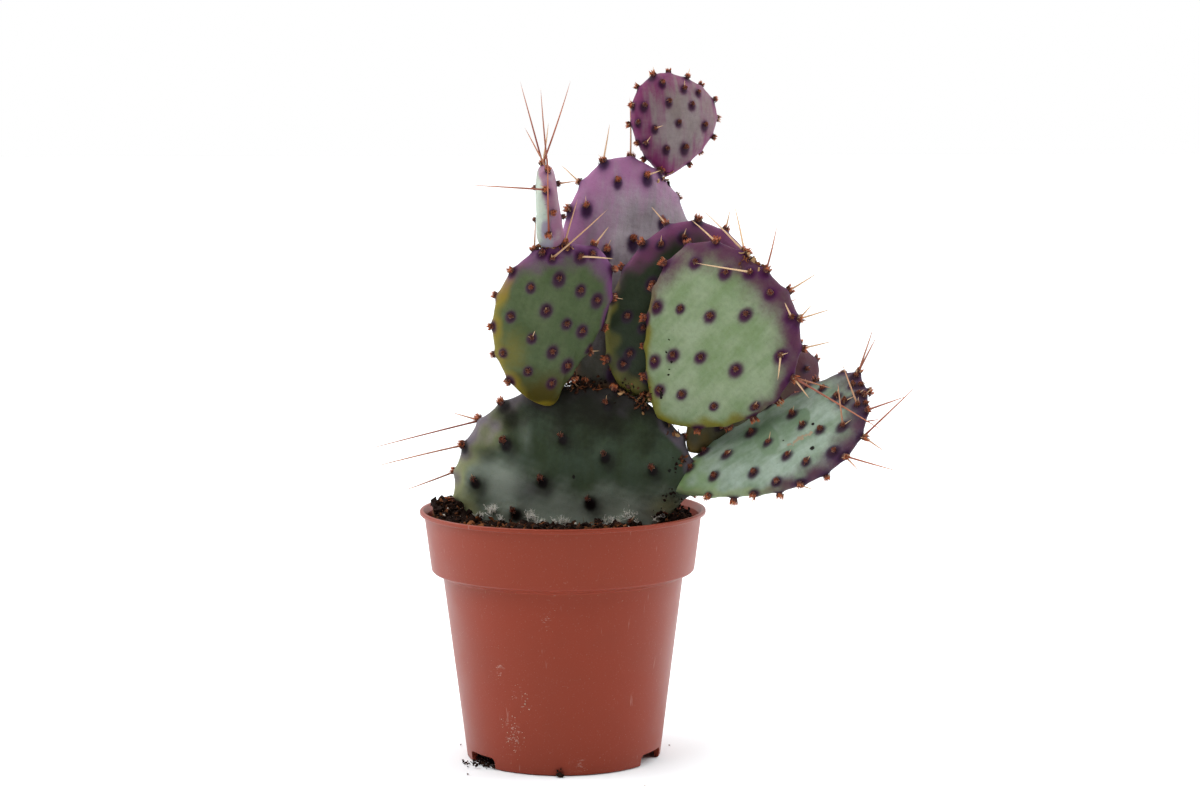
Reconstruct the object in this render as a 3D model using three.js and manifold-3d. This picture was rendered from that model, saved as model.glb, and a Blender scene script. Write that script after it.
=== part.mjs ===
// Potted paddle cactus: nine pads of one prickly pear in a 12 cm plastic nursery pot.
// Millimetres, +Z up, origin at the middle of the pot's underside, the viewer on the -Y side.

import * as THREE from 'three';
import { mergeVertices } from 'three/addons/utils/BufferGeometryUtils.js';
import { ParametricGeometry } from 'three/addons/geometries/ParametricGeometry.js';
import Module from 'manifold-3d';

const wasm = await Module();
wasm.setup();

// ---------------------------------------------------------------- driving dimensions

const TERRACOTTA = '#b4685a';
const PEAT_BROWN = '#3a2b24';
const SATIN = 0.42; // roughness of the plastic
const WAXY = 0.6; // roughness of the pads

const GAP = 0.3; // between pieces that rest in or on each other
const WALL = 1.2; // plastic of the pot
const POT_SIDES = 56;

const POT = {
  lipRadius: 60,
  height: 104.4,
  footRadius: 40.8,
  stepRadius: 50.5, // wall just under the collar
  stepHeight: 77,
  collarLowRadius: 55.2,
  collarLow: 79.3,
  collarTopRadius: 58.1,
  lipLow: 102.8, // underside of the lip
  floorLow: 4, // raised ring of the floor, underside
  middleRadius: 13.4, // disc in the middle that stands on the ground
  footWidth: 1.6,
};
const NOTCH = { count: 3, first: -57, width: 18, height: 4.7, corner: 2, depth: 8, inset: 5.5 };
const DRAIN = { count: 6, radius: 3.6, ring: 27, sides: 10 };

const SOIL = {
  level: 98.6,
  heapHeight: 9.5, // crumbs heaped up at the left of the base pad
  heapAt: [-49, 4],
  heapSpread: 8,
  dip: 5, // lower towards the right-hand wall
  dipFrom: 20,
  dipTo: 52,
  waves: 0.6,
  waveAcross: 5.1,
  waveAlong: 4.3,
  crumbs: 46,
  crumbSmall: 1.1,
  crumbLarge: 2.7,
  crumbShape: [1.2, 0.9, 0.7],
  crumbLift: 0.2, // of its size, from the soil to the middle of a crumb
};

// A pad stands on its foot point. lean tips it to the right, back tips it away from the viewer and
// turn swings its front face to the right, all in degrees. right and left are its half widths,
// low and high say how full its outline is towards the foot and towards the tip (0.5 is round).
// edge sets how flat the faces are, swell thickens the foot and bow bends the pad along its length.
// seen lists the areoles that show on the front, across and up the pad. The hidden ones follow the
// rows of cell, which gives one areole and the two steps to its neighbours.
const PADS = [
  {
    name: 'pad_base', foot: [4.9, 3, 56.2], lean: 2, back: 0, turn: -4,
    length: 99.5, right: 50, left: 53, low: [0.5, 0.5], high: [0.43, 0.42],
    thick: 17, edge: 3, swell: 0.1, bow: 0, rim: 26, bump: 1.2,
    cell: [[-12, 60], [19, 12], [17, -8]], tuft: [2.4, 4.2], color: '#5f6b5c',
    seen: [[-32, 76], [-8, 79], [10, 72], [30, 67], [-44, 59], [-16, 61], [4, 53], [-27, 47],
      [22, 44], [10, 93]],
  },
  {
    name: 'pad_left', foot: [-8.2, -0.5, 147.6], lean: 18.7, back: -8, turn: 10,
    length: 71, right: 13.2, left: 33.3, low: [1, 0.53], high: [0.55, 0.44],
    thick: 11.5, edge: 3, swell: 0.3, bow: 0, rim: 15, bump: 1.3,
    cell: [[-13, 43], [9, -3.6], [-3, -13]], tuft: [1.8, 2.6], color: '#7a8768',
    seen: [[-22, 48], [-12, 55], [-2, 53], [6, 51], [-26, 34], [-13, 41], [-3, 38], [4, 37],
      [-15, 28], [-5, 25], [-12, 14], [3, 21], [-1, 12], [-6, 66], [-17, 62], [10, 30], [-24, 18]],
  },
  {
    name: 'pad_middle', foot: [28.8, 5, 150.7], lean: 31, back: 6, turn: 8,
    length: 80.5, right: 30, left: 30.7, low: [0.5, 0.51], high: [0.5, 0.4],
    thick: 11, edge: 3, swell: 0.3, bow: 0, rim: 17, bump: 1.3,
    cell: [[-19, 27], [10, -1], [-9, 15]], tuft: [1.8, 2.6], color: '#6d745f',
    seen: [[-23, 61], [-20, 28], [-11, 15], [-11, 10], [-18, 45], [-12, 27]],
  },
  {
    name: 'pad_right', foot: [39.4, -2, 142.5], lean: 42.5, back: -14, turn: -12,
    length: 78, right: 30.5, left: 42.4, low: [0.72, 0.8], high: [0.6, 0.37],
    thick: 12.5, edge: 3, swell: 0.3, bow: 0, rim: 19, bump: 1.3,
    cell: [[7, 32], [15, 5.5], [-5, 18]], tuft: [1.9, 2.7], color: '#9aa784',
    seen: [[-33, 60], [-21, 66], [-24, 42], [-13, 49], [-3, 60], [-13, 26], [-17, 18], [-4, 34], [10, 41],
      [19, 58], [-7, 11], [1, 17], [14, 23], [-32, 35], [26, 35], [-14, 73], [-2, 73], [11, 72]],
  },
  {
    name: 'pad_tall', foot: [14.7, 9, 148], lean: 9, back: 15, turn: 16,
    length: 107.5, right: 36, left: 27, low: [0.5, 0.6], high: [0.51, 0.45],
    thick: 12.5, edge: 3, swell: 0.3, bow: 0, rim: 20, bump: 1.3,
    cell: [[4, 71], [12, 9], [-11, 19]], tuft: [2, 2.9], color: '#8d8088',
    seen: [[-7, 95], [15, 82], [3, 71], [-8, 64], [-19, 81], [6, 100]],
  },
  {
    name: 'pad_top', foot: [45, 42, 241.7], lean: -2.7, back: -3, turn: 22,
    length: 45.4, right: 26.2, left: 15, low: [0.81, 0.89], high: [0.62, 0.62],
    thick: 11, edge: 3, swell: 0.25, bow: 0, rim: 16, bump: 0.8,
    cell: [[5, 22], [-9.7, 0.5], [-3.3, 9]], tuft: [1.4, 1.9], color: '#93788c',
    seen: [[-1, 41], [9, 38], [1, 33], [12, 31], [-10, 32], [5, 24], [18, 22], [-6, 22], [-1, 13], [8, 13],
      [-13, 25], [-10, 16], [16, 36]],
  },
  {
    name: 'pad_narrow', foot: [-4.2, -12, 213.7], lean: -4.7, back: 0, turn: -88,
    length: 34.6, right: 16, left: 16, low: [0.55, 0.55], high: [0.5, 0.5],
    thick: 7.6, edge: 8, swell: 0.7, bow: 0, rim: 11, bump: 0.8,
    cell: [[0, 16], [9, 3], [-3, 9]], tuft: [1.4, 2], color: '#8d8a86',
    seen: [],
  },
  {
    name: 'pad_low', foot: [47.3, -4.5, 110.8], lean: 55.6, back: -10, turn: -56,
    length: 92.3, right: 35, left: 17, low: [1, 0.38], high: [0.43, 0.56],
    thick: 10.5, edge: 3, swell: 0.4, bow: -0.04, rim: 21, bump: 1.3,
    cell: [[4, 46], [10.5, 5.5], [-7.5, 12]], tuft: [1.8, 2.6], color: '#8c9a90',
    seen: [[-2, 76], [6, 80], [11, 82], [0, 60], [9, 62], [17, 68], [22, 77], [-4, 41], [7, 46], [0, 28],
      [19, 51], [27, 57], [-5, 11], [6, 19], [16, 35], [-10, 19], [-15, 33], [26, 42], [30, 69], [-11, 70]],
  },
  {
    name: 'pad_rear', foot: [52.6, 1.5, 127.7], lean: 60, back: 24, turn: 15,
    length: 73.5, right: 12, left: 26.5, low: [0.7, 0.6], high: [0.5, 0.5],
    thick: 9.5, edge: 3, swell: 0.3, bow: 0, rim: 14, bump: 1.3,
    cell: [[0, 34], [11, 5], [-7, 13]], tuft: [1.8, 2.6], color: '#7d7580',
    seen: [],
  },
];

// Long spines that the front shows. Each starts at the areole nearest to a place on its pad, given
// across, up and out of the pad. angle is read from upright to the right, towards is the tilt to
// the viewer, both in degrees.
const SPINES = [
  ['pad_base', [-43, 87, 0], -103, 5, 51],
  ['pad_base', [-50, 75, 0], -102, 0, 40],
  ['pad_base', [-54, 65, 0], -110, 10, 24],
  ['pad_base', [-47, 80, 0], -76, -15, 13],
  ['pad_left', [-22, 64, 5], -3, 0, 31],
  ['pad_left', [-11, 67, 5], 46, 20, 30],
  ['pad_left', [-11, 71, 0], 16, 5, 19],
  ['pad_left', [-19, 61, 5], 56, 30, 14],
  ['pad_left', [-2, 71, 0], 39, 0, 10],
  ['pad_left', [-6, 65, 5], 90, 30, 16],
  ['pad_middle', [-20, 72, 0], -40, 0, 10],
  ['pad_right', [-24, 74, 0], -43, 0, 25],
  ['pad_right', [-29, 69, 0], -46, 10, 14],
  ['pad_right', [-15, 79, 0], 16, 0, 19],
  ['pad_right', [-17, 80, 0], -8, -20, 21],
  ['pad_right', [4, 80, 0], 60, 0, 14],
  ['pad_right', [12, 79, 0], 41, 0, 8],
  ['pad_right', [22, 76, 0], 73, 0, 14],
  ['pad_right', [26, 70, 0], 79, 0, 13],
  ['pad_right', [-10, 67, 5], -80, 25, 26],
  ['pad_right', [11, 72, 5], -28, 30, 8],
  ['pad_right', [30, 51, 5], -166, 20, 9],
  ['pad_right', [40, 42, 0], 138, 15, 11],
  ['pad_right', [42, 44, 0], 119, 10, 42],
  ['pad_right', [37, 54, 0], 106, 0, 17],
  ['pad_tall', [-13, 104, 0], 11, 0, 16],
  ['pad_tall', [-7, 106, 0], 2, 0, 26],
  ['pad_tall', [-23, 96, 0], -46, 0, 12],
  ['pad_tall', [5, 99, 5], 69, 20, 7],
  ['pad_tall', [28, 88, 0], 71, 0, 6],
  ['pad_narrow', [2, 34, 3], -15, 0, 35],
  ['pad_narrow', [6, 33, 3], -28, 0, 20],
  ['pad_narrow', [10, 31, 0], -6, 10, 34],
  ['pad_narrow', [-4, 34, 0], 10, 0, 17],
  ['pad_narrow', [2, 34, -3], 21, 0, 36],
  ['pad_narrow', [8, 22, 3], -86, 0, 31],
  ['pad_narrow', [4, 30, -4], 81, 0, 8],
  ['pad_low', [3, 92, 0], 19, 0, 19],
  ['pad_low', [-3, 90, 0], 27, 0, 16],
  ['pad_low', [17, 84, 5], -22, 10, 20],
  ['pad_low', [20, 76, 5], -9, 10, 18],
  ['pad_low', [28, 86, 0], 46, 0, 31],
  ['pad_low', [22, 90, 0], 71, 0, 17],
  ['pad_low', [34, 74, 0], 106, 10, 22],
  ['pad_low', [36, 68, 0], 136, 10, 8],
  ['pad_low', [32, 80, 0], 124, 0, 11],
];

const SPINE = {
  radius: 0.45,
  root: 2.5,
  hiddenShare: 0.4, // of the upper areoles on the back carry a spine
  hiddenShort: 6,
  hiddenLong: 22,
  stray: 0.8, // how far those spines stray from their tufts
  upward: 0.5, // and lean towards the tip of the pad
};
const TUFT_ROOT = 1.4; // depth that a tuft reaches into its pad
const TUFT_SHORT = 0.85; // shortest and longest tuft, as shares of the pad's tuft length
const TUFT_LONG = 1.15;
const CLEAR = 1; // free space kept round spines and tufts
const PAD_CLEAR = 2; // from the axis of a spine or tuft to another pad
const RIM_START = 5; // no areoles nearer to the foot than this

// ---------------------------------------------------------------- small helpers

const radians = THREE.MathUtils.degToRad;

// A repeatable draw between 0 and 1.
function draw(seed) {
  const value = Math.sin(seed * 12.9898) * 43758.5453;
  return value - Math.floor(value);
}

function toSolid(geometry) {
  geometry.deleteAttribute('normal');
  geometry.deleteAttribute('uv');
  const merged = mergeVertices(geometry, 1e-4);
  const index = merged.index.array;
  const triangles = [];
  for (let i = 0; i < index.length; i += 3) {
    const [a, b, c] = [index[i], index[i + 1], index[i + 2]];
    if (a !== b && b !== c && c !== a) {
      triangles.push(a, b, c);
    }
  }
  const mesh = new wasm.Mesh({
    numProp: 3,
    vertProperties: Float32Array.from(merged.attributes.position.array),
    triVerts: Uint32Array.from(triangles),
  });
  return new wasm.Manifold(mesh);
}

function toMesh(name, solid, color, roughness) {
  const { vertProperties, triVerts } = solid.getMesh();
  const geometry = new THREE.BufferGeometry();
  geometry.setAttribute('position', new THREE.BufferAttribute(vertProperties, 3));
  geometry.setIndex(new THREE.BufferAttribute(triVerts, 1));
  geometry.computeVertexNormals();
  const material = new THREE.MeshStandardMaterial({ color, roughness, metalness: 0 });
  const mesh = new THREE.Mesh(geometry, material);
  mesh.name = name;
  return mesh;
}

// A cone of few sides that runs from a root under the surface to its tip.
function cone(from, direction, root, length, radius, sides) {
  const height = root + length;
  const geometry = new THREE.ConeGeometry(radius, height, sides);
  geometry.translate(0, height / 2 - root, 0);
  const up = new THREE.Vector3(0, 1, 0);
  geometry.applyQuaternion(new THREE.Quaternion().setFromUnitVectors(up, direction));
  geometry.translate(from.x, from.y, from.z);
  return toSolid(geometry);
}

// ---------------------------------------------------------------- pad surface

const MIDDLE = 0.55; // the rings of a pad's surface close round this share of its length

function axesOf(pad) {
  const [lean, back, turn] = [pad.lean, pad.back, pad.turn].map(radians);
  const along = new THREE.Vector3(
    Math.sin(lean) * Math.cos(back),
    Math.sin(back),
    Math.cos(lean) * Math.cos(back),
  );
  const facing = new THREE.Vector3(0, -1, 0).addScaledVector(along, along.y).normalize();
  const side = new THREE.Vector3().crossVectors(along, facing);
  const out = facing.clone().multiplyScalar(Math.cos(turn)).addScaledVector(side, Math.sin(turn));
  const across = side.clone().multiplyScalar(Math.cos(turn)).addScaledVector(facing, -Math.sin(turn));
  return { across, along, out, foot: new THREE.Vector3(...pad.foot) };
}

function toWorld(pad, x, y, z) {
  const { across, along, out, foot } = pad.axes;
  return foot.clone().addScaledVector(across, x).addScaledVector(along, y).addScaledVector(out, z);
}

// Egg-shaped outline: the half width rises as a power of the height from the foot and falls as a
// power of what is left to the tip, with its own powers on each side.
function outlinePoint(pad, turn) {
  const height = Math.sin(turn / 2) ** 2;
  const isRight = turn <= Math.PI;
  const low = pad.low[isRight ? 0 : 1];
  const high = pad.high[isRight ? 0 : 1];
  const widest = (low / (low + high)) ** low * (high / (low + high)) ** high;
  const half = isRight ? pad.right : -pad.left;
  const x = (half * height ** low * Math.max(0, 1 - height) ** high) / widest;
  return new THREE.Vector2(x, pad.length * height);
}

// The outline by share of its length, from the foot up the right-hand side, over the tip and back.
function outlineTable(pad) {
  const steps = 720;
  const points = [];
  for (let i = 0; i <= steps; i += 1) {
    points.push(outlinePoint(pad, (2 * Math.PI * i) / steps));
  }
  const reach = [0];
  for (let i = 1; i <= steps; i += 1) {
    reach.push(reach[i - 1] + points[i].distanceTo(points[i - 1]));
  }
  const middle = MIDDLE * pad.length;
  const rays = points.map(({ x, y }) => [Math.atan2(x, y - middle), Math.hypot(x, y - middle)]);
  return { points, reach, rays };
}

// A point of the rim, which rises at each areole and sinks between them.
function rimPoint(pad, share) {
  const { points, reach } = pad.table;
  const wanted = (share - Math.floor(share)) * reach[reach.length - 1];
  const next = Math.max(1, reach.findIndex((length) => length > wanted));
  const part = (wanted - reach[next - 1]) / (reach[next] - reach[next - 1]);
  const point = points[next - 1].clone().lerp(points[next], part);
  const step = points[next].clone().sub(points[next - 1]).normalize();
  const outward = new THREE.Vector2(step.y, -step.x);
  const fade = THREE.MathUtils.smoothstep(point.y, 0, RIM_START * 2);
  const wave = Math.cos(2 * Math.PI * (share * pad.rim - 0.5));
  point.addScaledVector(outward, (pad.bump / 2) * wave * fade);
  return { point, outward };
}

// Half the thickness of the pad at a place on it: ring is 0 in the middle and 1 at the rim.
function halfThickness(pad, ring, y) {
  const swollen = 1 + pad.swell * (1 - y / pad.length);
  return (pad.thick / 2) * swollen * Math.sqrt(Math.max(0, 1 - ring ** pad.edge));
}

function bowAt(pad, y) {
  const t = y / pad.length;
  return pad.bow * pad.length * 4 * t * (1 - t);
}

// How far out a place on the pad lies, as a share of the way from the middle to the rim.
function ringAt(pad, x, y) {
  const rise = y - MIDDLE * pad.length;
  const heading = Math.atan2(x, rise);
  let nearest = Infinity;
  let edge = 1;
  for (const [angle, length] of pad.table.rays) {
    const difference = Math.abs(angle - heading);
    const apart = Math.min(difference, 2 * Math.PI - difference);
    if (apart < nearest) {
      nearest = apart;
      edge = length;
    }
  }
  return Math.hypot(x, rise) / edge;
}

function facePoint(pad, x, y, face) {
  const z = bowAt(pad, y) + face * halfThickness(pad, ringAt(pad, x, y), y);
  return toWorld(pad, x, y, z);
}

// The same pad, larger all round by the given amount.
function grown(pad, by) {
  const larger = { ...pad, thick: pad.thick + 2 * by, length: pad.length + 2 * by };
  larger.right += by;
  larger.left += by;
  larger.foot = toWorld(pad, 0, -by, 0).toArray();
  larger.table = outlineTable(larger);
  larger.axes = axesOf(larger);
  return larger;
}

const STEPS_PER_BUMP = 2;
const RINGS = 8;

function padBody(pad) {
  const steps = pad.rim * STEPS_PER_BUMP;
  const surface = (u, v, target) => {
    const share = 1 - u + 0.5 / steps;
    const { point } = rimPoint(pad, share);
    const ring = Math.sin(Math.PI * v);
    const middle = MIDDLE * pad.length;
    const x = point.x * ring;
    const y = middle + (point.y - middle) * ring;
    const face = v < 0.5 ? 1 : -1;
    target.copy(toWorld(pad, x, y, bowAt(pad, y) + face * halfThickness(pad, ring, y)));
  };
  return toSolid(new ParametricGeometry(surface, steps, RINGS));
}

// ---------------------------------------------------------------- areoles, tufts and spines

const FACE_EDGE = 0.88; // areoles in rows stop at this share of the way to the rim
const ROW_REACH = 14;
const SHAKE = 1.2; // areoles stray from their rows by up to half of this
const APART = 0.8; // least distance between areoles, as a share of the step along a row
const TUFT_TILT = 0.35; // tufts of the faces lean towards the tip

// Places in rows, mirrored on the back, where they keep clear of the areoles that are seen.
function rowPlaces(pad, face, seen) {
  const [start, first, second] = pad.cell;
  const apart = APART * Math.hypot(...first);
  const places = [];
  for (let i = -ROW_REACH; i <= ROW_REACH; i += 1) {
    for (let j = -ROW_REACH; j <= ROW_REACH; j += 1) {
      const seed = 7 * i + 31 * j + 101 * face + pad.foot[2];
      const x = face * (start[0] + i * first[0] + j * second[0]) + SHAKE * (draw(seed) - 0.5);
      const y = start[1] + i * first[1] + j * second[1] + SHAKE * (draw(seed + 0.5) - 0.5);
      const isOnFace = y > RIM_START && y < pad.length && ringAt(pad, x, y) < FACE_EDGE;
      if (isOnFace && seen.every((place) => Math.hypot(place[0] - x, place[1] - y) > apart)) {
        places.push([x, y, seed]);
      }
    }
  }
  return places;
}

function faceAreoles(pad, face) {
  const seen = face > 0 ? pad.seen.map(([x, y]) => [x, y, 3 * x + 17 * y]) : [];
  return [...seen, ...rowPlaces(pad, face, seen)].map(([x, y, seed]) => {
    const at = facePoint(pad, x, y, face);
    const sideways = facePoint(pad, x + 1, y, face).sub(at);
    const upwards = facePoint(pad, x, y + 1, face).sub(at);
    const normal = sideways.cross(upwards).multiplyScalar(face).normalize();
    const direction = normal.addScaledVector(pad.axes.along, TUFT_TILT).normalize();
    return { at, direction, face, seed, place: [x, y, (face * pad.thick) / 2] };
  });
}

const RIM_ZIGZAG = 0.1; // rim areoles stand this share of the thickness to either side

function rimAreoles(pad) {
  const areoles = [];
  const ring = (1 - (2 * RIM_ZIGZAG) ** 2) ** (1 / pad.edge);
  const middle = MIDDLE * pad.length;
  for (let k = 0; k < pad.rim; k += 1) {
    const { point, outward } = rimPoint(pad, (k + 0.5) / pad.rim);
    if (point.y < RIM_START) {
      continue;
    }
    const face = k % 2 ? 1 : -1;
    const x = point.x * ring;
    const y = middle + (point.y - middle) * ring;
    const z = bowAt(pad, y) + face * halfThickness(pad, ring, y);
    const direction = new THREE.Vector3()
      .addScaledVector(pad.axes.across, outward.x)
      .addScaledVector(pad.axes.along, outward.y)
      .addScaledVector(pad.axes.out, 2 * RIM_ZIGZAG * face)
      .normalize();
    const seed = 57 * k + pad.foot[2];
    areoles.push({ at: toWorld(pad, x, y, z), direction, face: 0, seed, place: [x, y, z] });
  }
  return areoles;
}

function insidePad(pad, point) {
  const { across, along, out, foot } = pad.axes;
  const local = point.clone().sub(foot);
  const y = local.dot(along);
  const z = local.dot(out) - bowAt(pad, y);
  if (y < 0 || y > pad.length || Math.abs(z) > pad.thick) {
    return false;
  }
  const ring = ringAt(pad, local.dot(across), y);
  return ring < 1 && Math.abs(z) < halfThickness(pad, ring, y);
}

// Near the soil or the pot, where no tuft or spine may reach.
function nearPot(point) {
  const radius = Math.hypot(point.x, point.y);
  const inSoil = radius < POT.lipRadius && point.z < soilHeight(point.x, point.y) + SOIL_CLEAR;
  const nearLip = radius < POT.lipRadius + CLEAR && radius > SOIL_RADIUS - CLEAR;
  return inSoil || (nearLip && point.z < POT.height + CLEAR);
}

const placed = [];
const CHECK_STEP = 1.5;

function isClear(pad, from, direction, length, radius) {
  const nearest = new THREE.Vector3();
  for (let reach = 0; reach <= length; reach += Math.min(CHECK_STEP, length / 3)) {
    const point = from.clone().addScaledVector(direction, reach);
    if (nearPot(point)) {
      return false;
    }
    if (PADS.some((other) => other !== pad && insidePad(other.shell, point))) {
      return false;
    }
    for (const spike of placed) {
      if (spike.pad === pad) {
        continue;
      }
      spike.line.closestPointToPoint(point, true, nearest);
      if (nearest.distanceTo(point) < radius + spike.radius + CLEAR) {
        return false;
      }
    }
  }
  return true;
}

// Adds a tuft or spine to the body, unless it would touch another piece.
function addSpike(body, pad, from, direction, root, length, radius, sides) {
  if (!isClear(pad, from, direction, length, radius)) {
    return { body, added: false };
  }
  const tip = from.clone().addScaledVector(direction, length);
  placed.push({ pad, radius, line: new THREE.Line3(from, tip) });
  return { body: body.add(cone(from, direction, root, length, radius, sides)), added: true };
}

const TUFT_SIDES = 4;
const SPINE_SIDES = 3;
const BENDS = [0, 12, -12, 24, -24, 36, -36, 48];

function heading(angle, towards) {
  const [turn, tilt] = [radians(angle), radians(towards)];
  const level = Math.cos(tilt);
  return new THREE.Vector3(Math.sin(turn) * level, -Math.sin(tilt), Math.cos(turn) * level);
}

function seenSpines(body, pad, areoles) {
  let grownBody = body;
  for (const [name, place, angle, towards, length] of SPINES) {
    if (name !== pad.name) {
      continue;
    }
    const distance = (areole) => Math.hypot(...areole.place.map((value, k) => value - place[k]));
    const start = areoles.reduce((best, areole) => (distance(areole) < distance(best) ? areole : best));
    for (const bend of BENDS) {
      const direction = heading(angle, towards + bend);
      const { root, radius } = SPINE;
      const result = addSpike(grownBody, pad, start.at, direction, root, length, radius, SPINE_SIDES);
      grownBody = result.body;
      if (result.added) {
        break;
      }
    }
  }
  return grownBody;
}

// The side that the viewer does not see carries spines too, drawn at random from its upper areoles.
function hiddenSpines(body, pad, areoles) {
  let grownBody = body;
  const upper = areoles.filter(({ face, place }) => face === -1 && place[1] > pad.length / 2);
  for (const { at, direction, seed } of upper) {
    if (draw(seed + 3) > SPINE.hiddenShare) {
      continue;
    }
    const length = THREE.MathUtils.lerp(SPINE.hiddenShort, SPINE.hiddenLong, draw(seed + 4) ** 2);
    const stray = new THREE.Vector3(draw(seed + 5), draw(seed + 6), draw(seed + 7)).subScalar(0.5);
    const way = direction.clone().addScaledVector(stray, SPINE.stray);
    way.addScaledVector(pad.axes.along, SPINE.upward).normalize();
    grownBody = addSpike(grownBody, pad, at, way, SPINE.root, length, SPINE.radius, SPINE_SIDES).body;
  }
  return grownBody;
}

function withTufts(body, pad, areoles) {
  let grownBody = body;
  const [radius, length] = pad.tuft;
  for (const { at, direction, seed } of areoles) {
    const reach = length * THREE.MathUtils.lerp(TUFT_SHORT, TUFT_LONG, draw(seed + 2));
    const result = addSpike(grownBody, pad, at, direction, TUFT_ROOT, reach, radius, TUFT_SIDES);
    grownBody = result.body;
  }
  return grownBody;
}

// ---------------------------------------------------------------- soil

const SOIL_RADIUS = POT.collarTopRadius - WALL - 1;
const SOIL_CLEAR = 2.6;

function soilHeight(x, y) {
  const [heapX, heapY] = SOIL.heapAt;
  const apart = (x - heapX) ** 2 + (y - heapY) ** 2;
  const heap = SOIL.heapHeight * Math.exp(-apart / (2 * SOIL.heapSpread ** 2));
  const dip = SOIL.dip * THREE.MathUtils.smoothstep(x, SOIL.dipFrom, SOIL.dipTo);
  const waves = SOIL.waves * Math.sin(x / SOIL.waveAcross + 1) * Math.cos(y / SOIL.waveAlong);
  return SOIL.level + heap - dip + waves;
}

function wallRadiusAt(height) {
  return THREE.MathUtils.mapLinear(height, 0, POT.stepHeight, POT.footRadius, POT.stepRadius);
}

function collarRadiusAt(height) {
  const { collarLow, lipLow, collarLowRadius, collarTopRadius } = POT;
  return THREE.MathUtils.mapLinear(height, collarLow, lipLow, collarLowRadius, collarTopRadius);
}

const SOIL_SIDES = POT_SIDES;
const TOP_SHARES = [1, 0.86, 0.68, 0.48, 0.26, 0];
const INSET = WALL + GAP + 0.2; // from the outside of the pot to the soil

function soilBody() {
  const floorTop = POT.floorLow + WALL + GAP;
  const sides = [
    [0, WALL + GAP],
    [POT.middleRadius - WALL - GAP, WALL + GAP],
    [POT.middleRadius - GAP, floorTop],
    [wallRadiusAt(floorTop) - INSET, floorTop],
    [wallRadiusAt(POT.stepHeight) - INSET, POT.stepHeight + WALL + GAP],
    [POT.collarLowRadius - INSET, POT.collarLow + WALL + GAP],
  ];
  const rows = sides.length + TOP_SHARES.length - 1;
  const surface = (u, v, target) => {
    const turn = 2 * Math.PI * u;
    const row = Math.round(v * rows);
    const isTop = row >= sides.length;
    const edgeHeight = soilHeight(SOIL_RADIUS * Math.cos(turn), SOIL_RADIUS * Math.sin(turn));
    const edge = Math.min(SOIL_RADIUS, collarRadiusAt(edgeHeight) - INSET - GAP);
    const radius = isTop ? edge * TOP_SHARES[row - sides.length] : sides[row][0];
    const x = radius * Math.cos(turn);
    const y = radius * Math.sin(turn);
    target.set(x, y, isTop ? soilHeight(x, y) : sides[row][1]);
  };
  return toSolid(new ParametricGeometry(surface, SOIL_SIDES, rows));
}

// Crumbs of bark and perlite, sunk part of the way into the top of the soil.
function withCrumbs(body, base) {
  let filled = body;
  const keepOff = grown(base, SOIL.crumbLarge + CLEAR);
  for (let k = 0; k < SOIL.crumbs; k += 1) {
    const size = THREE.MathUtils.lerp(SOIL.crumbSmall, SOIL.crumbLarge, draw(k + 0.3) ** 2);
    const radius = (SOIL_RADIUS - SOIL.crumbLarge - 1) * Math.sqrt(draw(k + 0.1));
    const turn = 2 * Math.PI * draw(k + 0.2);
    const at = new THREE.Vector3(radius * Math.cos(turn), radius * Math.sin(turn), 0);
    at.z = soilHeight(at.x, at.y) + SOIL.crumbLift * size;
    if (insidePad(keepOff, at)) {
      continue;
    }
    const geometry = new THREE.OctahedronGeometry(size);
    geometry.scale(...SOIL.crumbShape);
    const turned = [0.4, 0.5, 0.6].map((offset) => Math.PI * draw(k + offset));
    geometry.applyQuaternion(new THREE.Quaternion().setFromEuler(new THREE.Euler(...turned)));
    geometry.translate(at.x, at.y, at.z);
    filled = filled.add(toSolid(geometry));
  }
  return filled;
}

// ---------------------------------------------------------------- pot

function potBody() {
  const { lipRadius, height, footRadius, stepRadius, stepHeight, collarLow, collarLowRadius } = POT;
  const { collarTopRadius, lipLow, floorLow, middleRadius, footWidth } = POT;
  const floorTop = floorLow + WALL;
  const profile = [
    [0, 0],
    [middleRadius, 0],
    [middleRadius + WALL, floorLow],
    [footRadius - footWidth - 1, floorLow],
    [footRadius - footWidth, 0],
    [footRadius, 0],
    [stepRadius, stepHeight],
    [collarLowRadius, collarLow],
    [collarTopRadius, lipLow - WALL / 3],
    [lipRadius, lipLow],
    [lipRadius, height],
    [lipRadius - WALL * 1.3, height],
    [collarTopRadius - WALL, lipLow],
    [collarLowRadius - WALL, collarLow + WALL],
    [stepRadius - WALL, stepHeight + WALL],
    [wallRadiusAt(floorTop) - WALL, floorTop],
    [middleRadius, floorTop],
    [middleRadius - WALL, WALL],
    [0, WALL],
  ];
  const geometry = new THREE.LatheGeometry(profile.map(([x, y]) => new THREE.Vector2(x, y)), POT_SIDES);
  geometry.rotateX(Math.PI / 2);
  return toSolid(geometry);
}

// A round-cornered block that takes one notch out of the foot ring.
function notchCutter(azimuth) {
  const { width, height, corner, depth, inset } = NOTCH;
  const shape = new THREE.Shape();
  shape.moveTo(-width / 2, -1);
  shape.lineTo(width / 2, -1);
  shape.lineTo(width / 2, height - corner);
  shape.absarc(width / 2 - corner, height - corner, corner, 0, Math.PI / 2);
  shape.absarc(-width / 2 + corner, height - corner, corner, Math.PI / 2, Math.PI);
  const geometry = new THREE.ExtrudeGeometry(shape, { depth, bevelEnabled: false, curveSegments: 3 });
  geometry.rotateX(Math.PI / 2);
  geometry.translate(0, inset - POT.footRadius, 0);
  geometry.rotateZ(radians(azimuth));
  return toSolid(geometry);
}

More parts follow.
